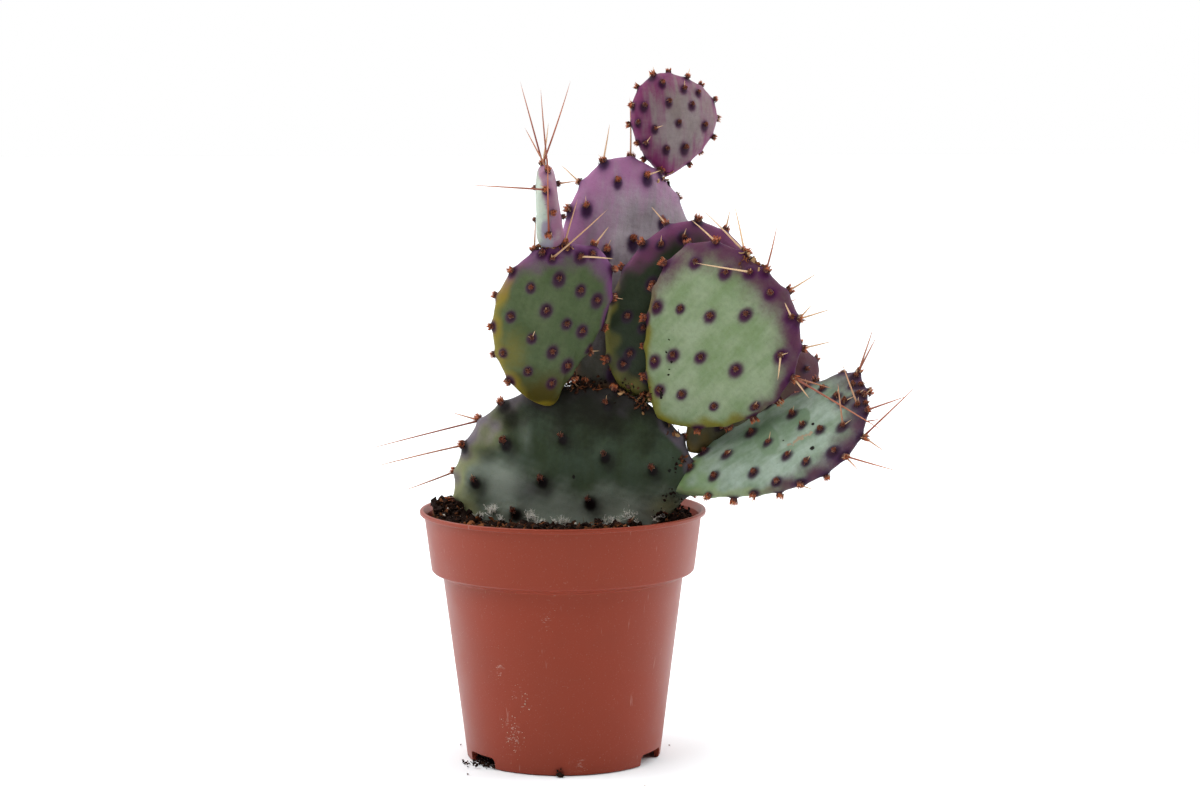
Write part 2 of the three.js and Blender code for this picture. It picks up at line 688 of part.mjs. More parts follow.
function drainCutter(azimuth) {
  const geometry = new THREE.CylinderGeometry(DRAIN.radius, DRAIN.radius, 4 * WALL, DRAIN.sides);
  geometry.rotateX(Math.PI / 2);
  geometry.translate(0, -DRAIN.ring, POT.floorLow + WALL / 2);
  geometry.rotateZ(radians(azimuth));
  return toSolid(geometry);
}

function cutPot() {
  let pot = potBody();
  for (let k = 0; k < NOTCH.count; k += 1) {
    pot = pot.subtract(notchCutter(NOTCH.first + (360 * k) / NOTCH.count));
  }
  for (let k = 0; k < DRAIN.count; k += 1) {
    pot = pot.subtract(drainCutter((360 * (k + 0.5)) / DRAIN.count));
  }
  return pot;
}

// ---------------------------------------------------------------- assembly

for (const pad of PADS) {
  pad.table = outlineTable(pad);
  pad.axes = axesOf(pad);
  pad.shell = grown(pad, PAD_CLEAR);
  pad.hollow = padBody(grown(pad, GAP)); // room that the pads and soil round it leave for it
}

function padSolid(pad) {
  let body = padBody(pad);
  for (const earlier of PADS.slice(0, PADS.indexOf(pad))) {
    body = body.subtract(earlier.hollow);
  }
  const areoles = [...faceAreoles(pad, 1), ...faceAreoles(pad, -1), ...rimAreoles(pad)];
  body = seenSpines(body, pad, areoles);
  body = withTufts(body, pad, areoles);
  return hiddenSpines(body, pad, areoles);
}

const cactus = new THREE.Group();
const [base] = PADS;
const soil = withCrumbs(soilBody(), base).subtract(base.hollow);
cactus.add(toMesh('pot', cutPot(), TERRACOTTA, SATIN));
cactus.add(toMesh('soil', soil, PEAT_BROWN, 1));
for (const pad of PADS) {
  cactus.add(toMesh(pad.name, padSolid(pad), pad.color, WAXY));
}

export default cactus;
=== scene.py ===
"""Potted paddle cactus: skin, tufts, spines, soil and pot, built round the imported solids.

Shapes are worked out in millimetres as whole numpy arrays and go into the meshes in metres. The
viewer stands on the -Y side, +Z is up and the origin is the middle of the pot's underside.
"""

import math

import bpy
import numpy as np
from mathutils import Matrix, Vector


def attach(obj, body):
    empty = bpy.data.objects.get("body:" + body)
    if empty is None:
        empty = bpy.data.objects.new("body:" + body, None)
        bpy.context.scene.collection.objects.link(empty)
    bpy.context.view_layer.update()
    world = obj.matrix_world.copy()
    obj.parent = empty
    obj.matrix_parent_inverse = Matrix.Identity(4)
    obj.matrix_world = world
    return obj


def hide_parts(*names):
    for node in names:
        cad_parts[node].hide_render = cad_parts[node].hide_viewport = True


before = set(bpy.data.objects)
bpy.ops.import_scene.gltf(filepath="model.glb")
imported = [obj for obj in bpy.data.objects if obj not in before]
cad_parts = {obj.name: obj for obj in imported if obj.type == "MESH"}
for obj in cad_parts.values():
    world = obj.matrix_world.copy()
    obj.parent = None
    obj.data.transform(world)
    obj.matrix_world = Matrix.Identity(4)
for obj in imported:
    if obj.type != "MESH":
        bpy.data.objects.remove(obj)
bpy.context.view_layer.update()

# ------------------------------------------------------------------ driving dimensions, in mm

MM = 0.001

POT = dict(
    lip_radius=60, height=104.4, foot_radius=40.8, step_radius=50.5, step_height=77,
    collar_low_radius=55.2, collar_low=79.3, collar_top_radius=58.1, lip_low=102.8,
    floor_low=4, middle_radius=13.4, foot_width=1.6, wall=1.2,
)
NOTCH = dict(count=3, first=-57, width=18, height=4.7, corner=2, depth=8, inset=5.5)
DRAIN = dict(count=6, radius=3.6, ring=27, sides=32, low=2, depth=6.0)
SOIL = dict(
    level=98.6, heap_height=9.5, heap_at=(-49, 4), heap_spread=8, dip=5, dip_from=20, dip_to=52,
    edge_radius=54.6, mound_height=10, mound_at=(49.5, 0), mound_spread=6.5,
)

# What a pad has unless its own row says otherwise, and the pads themselves. They stand on their
# foot points, with lean, back and turn in degrees. right and left are the half widths, low and
# high the powers of the egg shape on the right and the left, heel and waist change its lower
# right. thick, edge, swell and bow shape its section, rim and bump its edge. cell is the first
# place and the two steps of the rows of areoles, and seen are those that the photograph shows.
# tuft is a radius and a length, halo two half sizes of the dark purple halo round each areole and
# of the painted shadow that its tuft casts, trail where the halo lies, a shift towards the foot of
# the pad that on the base and the tall pad also stands for that painted shadow, and wart a height
# and a width. face_shine is how bright the tufts on the faces are, darker than those on the rim,
# partly their own colour and partly painted shade, rim_size how large those on the rim are and
# bristle_width how wide their bristles, and short_share how many areoles have a short spine.
PLAIN_PAD = dict(
    back=0, heel=0, waist=0, edge=3, swell=0.3, bow=0, bump=1.3, trail=(0, -0.3), seen=(),
    face_shine=0.55, rim_size=1.25, bristle_width=1, short_share=0.22,
)
PADS = [{**PLAIN_PAD, **row} for row in (
    dict(name="base", foot=(4.9, 3, 56.2), lean=2, turn=-4, length=99.5, right=50, left=53,
         low=(0.5, 0.5), high=(0.43, 0.42), waist=0.24, thick=17, swell=0.1, rim=26, bump=1.2,
         cell=((-12, 60), (19, 12), (17, -8)), tuft=(1.7, 3.4), halo_and_shadow=(2, 2.4), trail=(1.3, -1.7),
         wart=(1.7, 5.5), face_shine=0.6, rim_size=1, bristle_width=1.25, seen=((-32, 76),
         (-8, 79), (10, 72), (30, 67), (-44, 59), (-16, 61), (4, 53), (-27, 47), (22, 44), (10, 93))),
    dict(name="left", foot=(-8.2, -0.5, 147.6), lean=18.7, back=-8, turn=10, length=71, right=13.2,
         left=33.3, low=(1, 0.53), high=(0.55, 0.44), heel=32, thick=11.5, rim=15, cell=((-13, 43),
         (9, -3.6), (-3, -13)), tuft=(1.4, 1.9), halo_and_shadow=(1.9, 2.4), trail=(0.1, -0.3), wart=(0.7, 3.2),
         seen=((-22, 48), (-12, 55), (-2, 53), (6, 51), (-26, 34), (-13, 41), (-3, 38), (4, 37),
         (-15, 28), (-5, 25), (-12, 14), (3, 21), (-1, 12), (-6, 66), (-17, 62), (10, 30), (-24, 18),
         (-21.5, 62.5), (-12, 67.5), (-1.5, 68.5))),
    dict(name="middle", foot=(28.8, 5, 150.7), lean=31, back=6, turn=8, length=80.5, right=30, left=30.7,
         low=(0.5, 0.51), high=(0.5, 0.4), thick=11, rim=17, cell=((-19, 27), (10, -1), (-9, 15)),
         tuft=(1.4, 2), halo_and_shadow=(1.9, 2.4), trail=(0.1, -0.3), wart=(0.7, 3.2), seen=((-23, 61), (-20, 28),
         (-11, 15), (-11, 10), (-18, 45), (-12, 27))),
    dict(name="right", foot=(39.4, -2, 142.5), lean=42.5, back=-14, turn=-12, length=78, right=30.5,
         left=42.4, low=(0.72, 0.8), high=(0.6, 0.37), thick=12.5, rim=19, cell=((7, 32), (15, 5.5),
         (-5, 18)), tuft=(1.5, 2.1), halo_and_shadow=(2, 2.6), trail=(0.3, -0.4), wart=(0.8, 3.4), seen=((-33, 60),
         (-21, 66), (-24, 42), (-13, 49), (-3, 60), (-13, 26), (-17, 18), (-4, 34), (10, 41), (19, 58),
         (-7, 11), (1, 17), (14, 23), (-32, 35), (26, 35), (-14, 73), (-2, 73), (11, 72))),
    dict(name="tall", foot=(14.7, 9, 148), lean=9, back=15, turn=16, length=107.5, right=36, left=27,
         low=(0.5, 0.6), high=(0.51, 0.45), thick=12.5, rim=20, cell=((4, 71), (12, 9), (-11, 19)),
         tuft=(1.9, 2.6), halo_and_shadow=(2, 3.1), trail=(0.5, -1.8), wart=(0.9, 3.6), face_shine=0.95,
         rim_size=1, seen=((-7, 95), (15, 82), (3, 71), (-8, 64), (-19, 81), (6, 100))),
    dict(name="top", foot=(45, 42, 241.7), lean=-2.7, back=-3, turn=22, length=45.4, right=26.2, left=15,
         low=(0.81, 0.89), high=(0.62, 0.62), thick=11, swell=0.25, rim=16, bump=0.8, cell=((5, 22),
         (-9.7, 0.5), (-3.3, 9)), tuft=(1.15, 1.7), halo_and_shadow=(1.7, 2.2), trail=(-0.5, -0.9), wart=(0.6, 2.3),
         seen=((-1, 41), (9, 38), (1, 33), (12, 31), (-10, 32), (5, 24), (18, 22), (-6, 22), (-1, 13),
         (8, 13), (-13, 25), (-10, 16), (16, 36))),
    dict(name="narrow", foot=(-4.2, -12, 213.7), lean=-4.7, turn=-88, length=34.6, right=16, left=16,
         low=(0.55, 0.55), high=(0.5, 0.5), thick=7.6, edge=8, swell=0.7, rim=11, bump=0.8, cell=((2, 12),
         (15, 5), (-6, 14)), tuft=(1.3, 1.9), halo_and_shadow=(1.2, 1.5), wart=(0.5, 2.2)),
    dict(name="low", foot=(47.3, -4.5, 110.8), lean=55.6, back=-10, turn=-56, length=92.3, right=35,
         left=17, low=(1, 0.38), high=(0.43, 0.56), thick=10.5, swell=0.4, bow=-0.04, rim=21,
         cell=((4, 46), (10.5, 5.5), (-7.5, 12)), tuft=(1.35, 2.2), halo_and_shadow=(1.8, 2.3), trail=(0.2, -0.4),
         wart=(0.9, 2.8), short_share=0.55, seen=((-2, 76), (6, 80), (11, 82), (0, 60), (9, 62), (17, 68),
         (22, 77), (-4, 41), (7, 46), (0, 28), (19, 51), (27, 57), (-5, 11), (6, 19), (16, 35), (-10, 19),
         (-15, 33), (26, 42), (30, 69), (-11, 70), (5, 88), (11, 88.5), (16.5, 86), (1, 90.5), (7, 90.7),
         (13, 90), (17, 89), (-7, 86))),
    dict(name="rear", foot=(52.6, 1.5, 127.7), lean=60, back=24, turn=15, length=73.5, right=12,
         left=26.5, low=(0.7, 0.6), high=(0.5, 0.5), thick=9.5, rim=14, cell=((0, 34), (11, 5), (-7, 13)),
         tuft=(1.3, 1.9), halo_and_shadow=(1.6, 2.1), wart=(0.7, 3)),
)]

# Long spines: a place across, up and out of the pad, near whose areole the spine starts, its
# angle from upright to the right, its tilt to the viewer, both in degrees, its length, and how
# pale it is, from 0 for red-brown to 1 for cream.
SPINES = {
    "base": [((-43, 87, 0), -103, 5, 49.6, 0.2), ((-50, 75, 0), -102, 0, 40, 0.3),
        ((-54, 65, 0), -110, 10, 24, 0.3), ((-47, 80, 0), -76, -15, 13, 0.4)],
    "left": [((-17, 62, 5), 50, 15, 31, 0.6), ((-11, 71, 0), 16, 5, 19, 0.6),
        ((-21, 64, 0), 3, 10, 13, 0.4), ((-2, 71, 0), 39, 0, 10, 0.9), ((-6, 65, 5), 90, 30, 16, 0.9)],
    "middle": [((-20, 72, 0), -40, 0, 10, 0.8), ((2, 80, 0), 14, 0, 9, 0.8)],
    "right": [((-24, 74, 0), -43, 0, 25, 0.8), ((-29, 69, 0), -46, 10, 14, 0.9),
        ((-15, 79, 0), 16, 0, 19, 0.2), ((-17, 80, 0), -8, -20, 21, 0.9), ((4, 80, 0), 60, 0, 14, 0.7),
        ((12, 79, 0), 41, 0, 8, 0.8), ((22, 76, 0), 73, 0, 14, 0.7), ((26, 70, 0), 79, 0, 13, 0.7),
        ((-10, 67, 5), -80, 25, 26, 0.9), ((11, 72, 5), -28, 30, 8, 1), ((19, 58, 5), -173, 20, 11, 1),
        ((30, 50, 0), 143, 30, 12, 0.8), ((30, 50, 0), 119, 36, 50, 0.2), ((37, 54, 0), 106, 0, 17, 0.3)],
    "tall": [((-13, 104, 0), 11, 0, 16, 0.7), ((-7, 106, 0), 2, 0, 26, 0.5),
        ((-23, 96, 0), -46, 0, 12, 0.8), ((5, 99, 5), 69, 20, 7, 0.9), ((28, 88, 0), 71, 0, 6, 0.8)],
    "narrow": [((13, 6, 0), -2, 25, 36, 0.1), ((2, 34, 3), -15, 0, 35, 0.1),
        ((6, 33, 3), -28, 0, 20, 0.3), ((10, 31, 0), -6, 10, 34, 0.2), ((-4, 34, 0), 10, 0, 17, 0.7),
        ((2, 34, -3), 21, 0, 36, 0.1), ((8, 22, 3), -86, 0, 31, 0.2), ((4, 30, -4), 81, 0, 8, 0.5)],
    "low": [((3, 92, 0), 19, 0, 19, 0.3), ((-3, 90, 0), 27, 0, 16, 0.2), ((17, 84, 5), -22, 10, 20, 0.5),
        ((20, 76, 5), -9, 10, 18, 0.4), ((28, 86, 0), 46, 0, 31, 0.1), ((22, 90, 0), 71, 0, 17, 0.2),
        ((34, 74, 0), 106, 10, 22, 0.2), ((36, 68, 0), 136, 10, 8, 0.5), ((32, 80, 0), 124, 0, 11, 0.5)],
}

# ------------------------------------------------------------------ colours and finishes

# Skin colours, and where they lie: blush and gold each give the way from the middle of the pad
# (degrees, 0 at the tip, 90 at its right), how far they reach in from the rim there, and how far
# they reach in all round. colours are those of LAYERS, in order. foot_share is the share of the
# length that the foot colour takes. lobes says how far the blush runs in round the areoles near
# it, cast how strong the painted shadow is that each tuft casts, a long soft shade below and right
# of its areole, and shade how strong the painted shade is that darkens the skin round the areoles.
LAYERS = ("Face", "Bloom", "Foot", "Gold", "Blush", "Deep", "Halo")
PLAIN_LOOK = dict(gold_at=(180, 0.04, 0), lobes=0.5, cast=0, shade=0)
LOOKS = {
    # the base's Deep colour is near black for the painted shade along its top under the pads above it
    "base": dict(slot="skin_dark_green",
        colours="#36422b #4a584a #8c9589 #96996a #6a5f6c #16140b #150d10", streaks=0.1, frost=0.6,
        foot_share=0.1, gold_at=(-104, 0.08, 0), blush_at=(-5, 0.05, 0.01), cast=0.4, shade=0.5),
    # the left pad's foot colour is the olive yellow of its heel darkened as painted shade on its shadowed
    # lower tip
    "left": dict(slot="skin_green", colours="#475633 #636f4f #463c0a #867420 #724070 #471247 #300a26",
        streaks=0.15, frost=0.6, foot_share=0.2, gold_at=(-108, 0.045, 0), blush_at=(8, 0.125, 0.01)),
    # the middle pad's face, bloom and foot colours are its own dark green darkened partly as painted shade,
    # for the shade it lies in between the left and right pads, the foot most
    "middle": dict(slot="skin_dark_green",
        colours="#27311f #37402f #23200f #6f6a30 #6f365c #33123a #240c1e", streaks=0.2, frost=0.35,
        foot_share=0.16, gold_at=(180, 0.05, 0), blush_at=(-8, 0.12, 0.02)),
    "right": dict(slot="skin_green", colours="#788c62 #9ba78b #8a8a42 #7a7420 #521440 #4a1446 #3a0a30",
        streaks=0.2, frost=0.7, foot_share=0.12, gold_at=(-175, 0.07, 0), blush_at=(5, 0.115, 0.05)),
    "tall": dict(slot="skin_lilac", colours="#7f757b #a9a0a6 #2b2c17 #8b6a4c #966089 #4c2b50 #2f1133",
        streaks=1.1, frost=0.85, foot_share=0.6, blush_at=(-55, 0.24, 0.05), cast=0.22),
    "top": dict(slot="skin_lilac", colours="#7a6c68 #968a8c #8d5f7e #8f5d78 #742557 #56224a #2e0a26",
        streaks=1.8, frost=0.6, foot_share=0.2, blush_at=(-85, 0.16, 0.17)),
    "narrow": dict(slot="skin_lilac", colours="#929a8d #ccd6c8 #98a086 #84788a #8a5874 #5c2f58 #32152a",
        streaks=0.7, frost=0.5, foot_share=0.1, blush_at=(0, 0.05, 0.0)),
    "low": dict(slot="skin_blue_green", colours="#6f8569 #a3b1a6 #74905a #8a9a70 #4a1c3a #301036 #2b0e22",
        streaks=0.15, frost=0.8, foot_share=0.3, gold_at=(150, 0.03, 0), blush_at=(20, 0.09, 0.035),
        lobes=0.9),
    "rear": dict(slot="skin_lilac", colours="#45422c #646046 #55481f #6a5a2c #420020 #2a0a2c #1c081a",
        streaks=0.2, frost=0.3, foot_share=0.16, gold_at=(180, 0.06, 0), blush_at=(20, 0.3, 0.15)),
}
# Marks on the front of a pad, in mm: tints, each the field that it adds to, its place, its half
# sizes and its strength; small dark specks (place, radius); corky scars (two ends, half width).
MARKS = {
    "base": dict(tints=[("wiped", (-30, 86), (8, 7), 1), ("wiped", (-26, 78), (4, 9), 1),
        # the deep tint at (8, 99) is painted shade along the top of the base under the pads above it, over a
        # real dark flush; those at (-29, 86) and (-38, 70) are painted shade in its folds
        ("gold", (-40, 80), (9, 11), 0.6), ("deep", (8, 99), (50, 22), 1),
        ("blush", (-20, 56), (9, 7), 0.35), ("foot", (0, 42), (70, 15), 1),
        ("foot", (-33, 58), (15, 13), 0.9), ("gold", (37, 50), (8, 5), 0.5),
        ("wiped", (38, 50), (9, 6), 1), ("deep", (-29, 86), (5, 7), 0.75),
        ("foot", (-22, 78), (4, 9), 0.35), ("deep", (-38, 70), (6, 5), 0.5)], specks=[((38, 66), 0.5),
        ((-2, 62), 0.5)]),
    "left": dict(tints=[("gold", (-22, 18), (7, 13), 0.45), ("foot", (-3, 4), (12, 14), 1),
        ("wiped", (-20, 30), (7, 10), 0.6)], specks=[((-9, 33), 0.35)]),
    "right": dict(tints=[("gold", (-12, 6), (10, 5), 0.6), ("wiped", (-28, 45), (4, 14), 0.5),
        ("gold", (12, 2), (16, 4), 0.5)], specks=[((-18.6, 28.8), 0.35), ((-15.7, 24.6), 0.4),
        ((-11.3, 23.2), 0.4), ((-8.5, 18.3), 0.35), ((-20, 33), 0.3), ((-10, 20), 0.3), ((-6.4, 12), 0.4),
        ((-5.6, 10.9), 0.45), ((-4.8, 9.9), 0.5), ((-4.1, 8.9), 0.45)]),
    "tall": dict(tints=[("blush", (14, 96), (8, 7), 0.5), ("blush", (-18, 66), (8, 14), 0.45)]),
    "low": dict(tints=[("wiped", (5, 46), (9, 5), 1.2), ("wiped", (5, 63), (5.5, 3.5), 1.2),
        ("deep", (20, 86), (9, 5), 0.7), ("blush", (14, 89), (17, 5), 0.7),
        ("deep", (2, 89), (12, 4), 0.4), ("deep", (-6, 84), (5, 4), 0.5)], specks=[((23, 61.5), 0.7),
        ((10, 52), 0.4), ((12, 66), 0.5)], scars=[((14.5, 53), (14.3, 58), 0.8),
        ((14.3, 58), (15.7, 63.4), 0.8)]),
}

RUST, RUST_TIP = "#4a150b", "#d8743c"
CREAM, SPINE_RED, SPINE_TAN = "#e8c397", "#853022", "#c2714c"
TERRACOTTA, SCUFF = "#7f3425", "#dcc5ba"
PEAT, BARK, PERLITE = "#1f100a", "#8e5633", "#d9d6cd"
CORK, SPECK, GRIT, STAIN = "#9b8a72", "#120b07", "#c9c2b2", "#4f2018"


def linear(text):
    """A colour written as #rrggbb, as the linear red, green, blue and alpha that a shader takes."""
    values = [int(text[k:k + 2], 16) / 255 for k in (1, 3, 5)]
    return tuple(v / 12.92 if v <= 0.04045 else ((v + 0.055) / 1.055) ** 2.4 for v in values) + (1.0,)


# ------------------------------------------------------------------ small helpers


def unit(vectors):
    """Vectors of length one."""
    return vectors / np.maximum(np.linalg.norm(vectors, axis=-1, keepdims=True), 1e-12)


def smoothstep(value, low, high):
    """0 below low, 1 above high and 3t²-2t³ between them."""
    t = np.clip((value - low) / (high - low), 0, 1)
    return t * t * (3 - 2 * t)


def draw(seed):
    """A repeatable draw between 0 and 1: the broken part of a large sine."""
    value = np.sin(seed * 12.9898) * 43758.5453
    return value - np.floor(value)


def ripple(points, size, seed):
    """Smooth noise from about -1 to 1: the scaled sum of seven sine waves of about the wavelength
    size, each running its own way through space."""
    rng = np.random.default_rng(seed)
    ways = unit(rng.normal(size=(7, 3))) * rng.uniform(0.7, 1.5, (7, 1)) * 2 * np.pi / size
    starts = rng.uniform(0, 2 * np.pi, 7)
    return np.sin(points @ ways.T + starts).sum(-1) / 2.6


def grid_faces(rows, columns):
    """Quads between rows of points that each close round on themselves."""
    row, column = np.meshgrid(np.arange(rows - 1), np.arange(columns), indexing="ij")
    after = (column + 1) % columns
    corners = (row * columns + column, row * columns + after,
               (row + 1) * columns + after, (row + 1) * columns + column)
    return np.stack(corners, -1).reshape(-1, 4)


def cap_faces(ring, pole, is_last):
    """A fan of triangles from a pole to the ring of points beside it."""
    after = np.roll(ring, -1)
    order = (ring, after) if is_last else (after, ring)
    return np.stack((*order, np.full_like(ring, pole)), -1)


def copies(shape, count, step):
    """The faces of count equal bodies that have step points each."""
    return (np.arange(count)[:, None, None] * step + shape).reshape(-1, shape.shape[1])


def random_turns(count, rng):
    """Rotation matrices at random: the square factor of a matrix of normal draws."""
    turn = np.linalg.qr(rng.normal(size=(count, 3, 3)))[0]
    return turn * np.sign(np.linalg.det(turn))[:, None, None]


def closed_rows(rows, first_pole, last_pole):
    """Points and faces of a body made of closed rows between two poles."""
    count, columns = rows.shape[:2]
    points = np.concatenate((rows.reshape(-1, 3), [first_pole, last_pole]))
    ends = np.arange(columns)
    faces = [
        grid_faces(count, columns),
        cap_faces(ends, count * columns, False),
        cap_faces(ends + (count - 1) * columns, count * columns + 1, True),
    ]
    return points, faces


def volume(points, faces):
    """Signed volume inside the faces, by the pyramids from the origin to each triangle."""
    total = 0.0
    for block in faces:
        for k in range(1, block.shape[1] - 1):
            a, b, c = points[block[:, 0]], points[block[:, k]], points[block[:, k + 1]]
            total += float(np.einsum("ij,ij->i", a, np.cross(b, c)).sum()) / 6
    return total


def add_object(name, data):
    """A new object in the scene, at the origin."""
    body = bpy.data.objects.new(name, data)
    bpy.context.scene.collection.objects.link(body)
    return body


def make_piece(name, points, faces, material, replaces=(), fields=None, is_smooth=True):
    """One piece of the object from points in mm and blocks of faces, turned to point outwards.
    fields are values for each point, which the piece's material reads by name."""
    if volume(points, faces) < 0:
        faces = [block[:, ::-1] for block in faces]
    mesh = bpy.data.meshes.new(name)
    mesh.vertices.add(len(points))
    mesh.vertices.foreach_set("co", (points * MM).astype(np.float32).ravel())
    corners = np.concatenate([block.ravel() for block in faces]).astype(np.int32)
    sizes = np.concatenate([np.full(len(block), block.shape[1]) for block in faces])
    starts = (np.cumsum(sizes) - sizes).astype(np.int32)
    mesh.loops.add(len(corners))
    mesh.loops.foreach_set("vertex_index", corners)
    mesh.polygons.add(len(sizes))
    mesh.polygons.foreach_set("loop_start", starts)
    mesh.polygons.foreach_set("use_smooth", np.full(len(sizes), is_smooth))
    for field, values in (fields or {}).items():
        kind = "FLOAT_VECTOR" if values.ndim == 2 else "FLOAT"
        attribute = mesh.attributes.new(field, kind, "POINT")
        attribute.data.foreach_set("vector" if values.ndim == 2 else "value",
                                   values.astype(np.float32).ravel())
    mesh.update(calc_edges=True)
    mesh.materials.append(material)
    piece = add_object(name, mesh)
    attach(piece, "root")
    if replaces:
        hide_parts(*replaces)
    return piece


# ------------------------------------------------------------------ shader building blocks


def put(tree, kind, settings=None, **inputs):
    """Adds a node. Each input is a value or a socket to link, by its name with _ for a space, or
    by its number as n0, n1 and so on."""
    node = tree.nodes.new(kind)
    for key, value in (settings or {}).items():
        setattr(node, key, value)
    for key, value in inputs.items():
        is_number = key[0] == "n" and key[1:].isdigit()
        socket = node.inputs[int(key[1:])] if is_number else node.inputs[key.replace("_", " ")]
        if isinstance(value, bpy.types.NodeSocket):
            tree.links.new(value, socket)
        else:
            socket.default_value = value
    return node


def blend(tree, factor, first, second, mode="MIX"):
    """Mixes two colours."""
    settings = dict(data_type="RGBA", blend_type=mode)
    return put(tree, "ShaderNodeMix", settings, n0=factor, n6=first, n7=second).outputs[2]


def calc(tree, operation, first, second=0.0):
    """One sum on values."""
    return put(tree, "ShaderNodeMath", dict(operation=operation), n0=first, n1=second).outputs[0]


def plus(tree, first, second):
    """first + second."""
    return calc(tree, "ADD", first, second)


def times(tree, first, second):
    """first * second."""
    return calc(tree, "MULTIPLY", first, second)


def about(tree, value, share):
    """How far a value lies from 0.5, times share."""
    return times(tree, calc(tree, "SUBTRACT", value, 0.5), share)


def band(tree, value, low, high, to_low=0.0, to_high=1.0):
    """Passes smoothly from to_low to to_high while value goes from low to high."""
    node = put(tree, "ShaderNodeMapRange", dict(interpolation_type="SMOOTHSTEP"),
               n0=value, n1=low, n2=high, n3=to_low, n4=to_high)
    return node.outputs[0]


def field(tree, name, output="Fac"):
    """Reads a value that the mesh holds for each point."""
    return put(tree, "ShaderNodeAttribute", dict(attribute_name=name)).outputs[output]


def noise(tree, where, scale, detail=3.0, roughness=0.55, stretch=(1, 1, 1)):
    """Cloudy noise between 0 and 1 round the place where."""
    if stretch != (1, 1, 1):
        where = put(tree, "ShaderNodeMapping", Vector=where, Scale=stretch).outputs[0]
    node = put(tree, "ShaderNodeTexNoise", Vector=where, Scale=scale, Detail=detail,
               Roughness=roughness)
    return node.outputs["Fac"]


def new_group(name, colours, values):
    """An empty shader node group that takes colours and values and gives Color, Roughness and
    Height. Returns its tree, its inputs by name and its output node."""
    tree = bpy.data.node_groups.new(name, "ShaderNodeTree")
    sockets = [(key, "INPUT", "Color") for key in colours] + [(key, "INPUT", "Float") for key in values]
    sockets += [("Color", "OUTPUT", "Color"), ("Roughness", "OUTPUT", "Float"), ("Height", "OUTPUT", "Float")]
    for key, side, kind in sockets:
        tree.interface.new_socket(key, in_out=side, socket_type="NodeSocket" + kind)
    inlet = tree.nodes.new("NodeGroupInput")
    return tree, inlet.outputs, tree.nodes.new("NodeGroupOutput")


def give(tree, outlet, color, roughness, height):
    """Joins a group's results to its outputs."""
    for name, socket in (("Color", color), ("Roughness", roughness), ("Height", height)):
        tree.links.new(socket, outlet.inputs[name])


def empty_material(name):
    """A material with nothing in its node tree, and that tree."""
    material = bpy.data.materials.new(name)
    material.use_nodes = True
    material.node_tree.nodes.clear()
    return material, material.node_tree


def finish_from(name, group, values, bump_depth, **shader):
    """A material whose colour, roughness and bump come from a node group with its own values, in
    which text is a colour. bump_depth is in metres, and shader holds what is the same all over
    the surface."""
    material, tree = empty_material(name)
    look = put(tree, "ShaderNodeGroup", dict(node_tree=group))
    for key, value in values.items():
        look.inputs[key].default_value = linear(value) if isinstance(value, str) else value
    bump = put(tree, "ShaderNodeBump", Strength=1.0, Distance=bump_depth, Height=look.outputs["Height"])
    surface = put(tree, "ShaderNodeBsdfPrincipled", Base_Color=look.outputs["Color"],
                  Roughness=look.outputs["Roughness"], Normal=bump.outputs[0], **shader)
    put(tree, "ShaderNodeOutputMaterial", Surface=surface.outputs[0])
    return material


def skin_group():
    """Waxy pad skin: a face colour under a patchy pale bloom, an olive foot, a golden edge, a
    purple flush towards the rim that deepens outwards and runs in streaks, and a dark halo round
    each areole. The halo field also holds the painted shadow that each tuft casts, and the Deep
    colour is also painted shade where the deep field darkens the skin round the areoles and under
    the pads above. On some pads the foot colour is partly painted shade. Its fine pattern reads
    the place on the pad in centimetres."""
    tree, given, outlet = new_group("PadSkin", LAYERS, ("Frost", "Streaks"))
    plan = field(tree, "plan", "Vector")
    cloud = noise(tree, plan, 0.7, 3, 0.55)
    streak = noise(tree, plan, 2.6, 3, 0.6, (1, 0.13, 1))
    grain = noise(tree, plan, 22, 2, 0.6)
    mottle = noise(tree, plan, 5, 4, 0.65)
    patches = band(tree, plus(tree, cloud, times(tree, streak, 0.5)), 0.5, 1.0)
    unwiped = band(tree, field(tree, "wiped"), 0.25, 0.6, 1.0, 0.08)
    frost = times(tree, times(tree, patches, given["Frost"]), unwiped)
    color = blend(tree, frost, given["Face"], given["Bloom"])
    color = blend(tree, band(tree, mottle, 0.35, 0.7, 0.0, 0.16), color, given["Halo"], "SOFT_LIGHT")
    stray = about(tree, mottle, 0.22)
    drawn = about(tree, streak, given["Streaks"])
    for name in ("Foot", "Gold", "Blush", "Deep"):
        share = plus(tree, field(tree, name.lower()), stray)
        if name == "Blush":
            share = plus(tree, share, drawn)
        color = blend(tree, band(tree, share, 0.0, 1.0, 0.0, 0.93), color, given[name])
    # the halo field holds the real purple halo and the painted shadow of each tuft
    halo_and_shadow = plus(tree, field(tree, "halo_and_shadow"), times(tree, stray, 0.5))
    color = blend(tree, band(tree, halo_and_shadow, 0.05, 0.6, 0.0, 0.6), color, given["Deep"])
    color = blend(tree, band(tree, halo_and_shadow, 0.2, 0.8, 0.0, 0.98), color, given["Halo"])
    color = blend(tree, band(tree, grain, 0.66, 0.74, 0.0, 0.35), color, given["Halo"], "MULTIPLY")
    cork = field(tree, "scar")
    color = blend(tree, band(tree, cork, 0.3, 0.6), color, linear(CORK))
    speck = band(tree, plus(tree, field(tree, "speck"), stray), 0.3, 0.6)
    color = blend(tree, speck, color, linear(SPECK))
    rough = band(tree, frost, 0.0, 0.7, 0.42, 0.62)
    bumps = plus(tree, times(tree, grain, 0.25), times(tree, mottle, 0.6))
    height = plus(tree, bumps, times(tree, cork, noise(tree, plan, 12, 3)))
    give(tree, outlet, color, rough, height)
    return tree


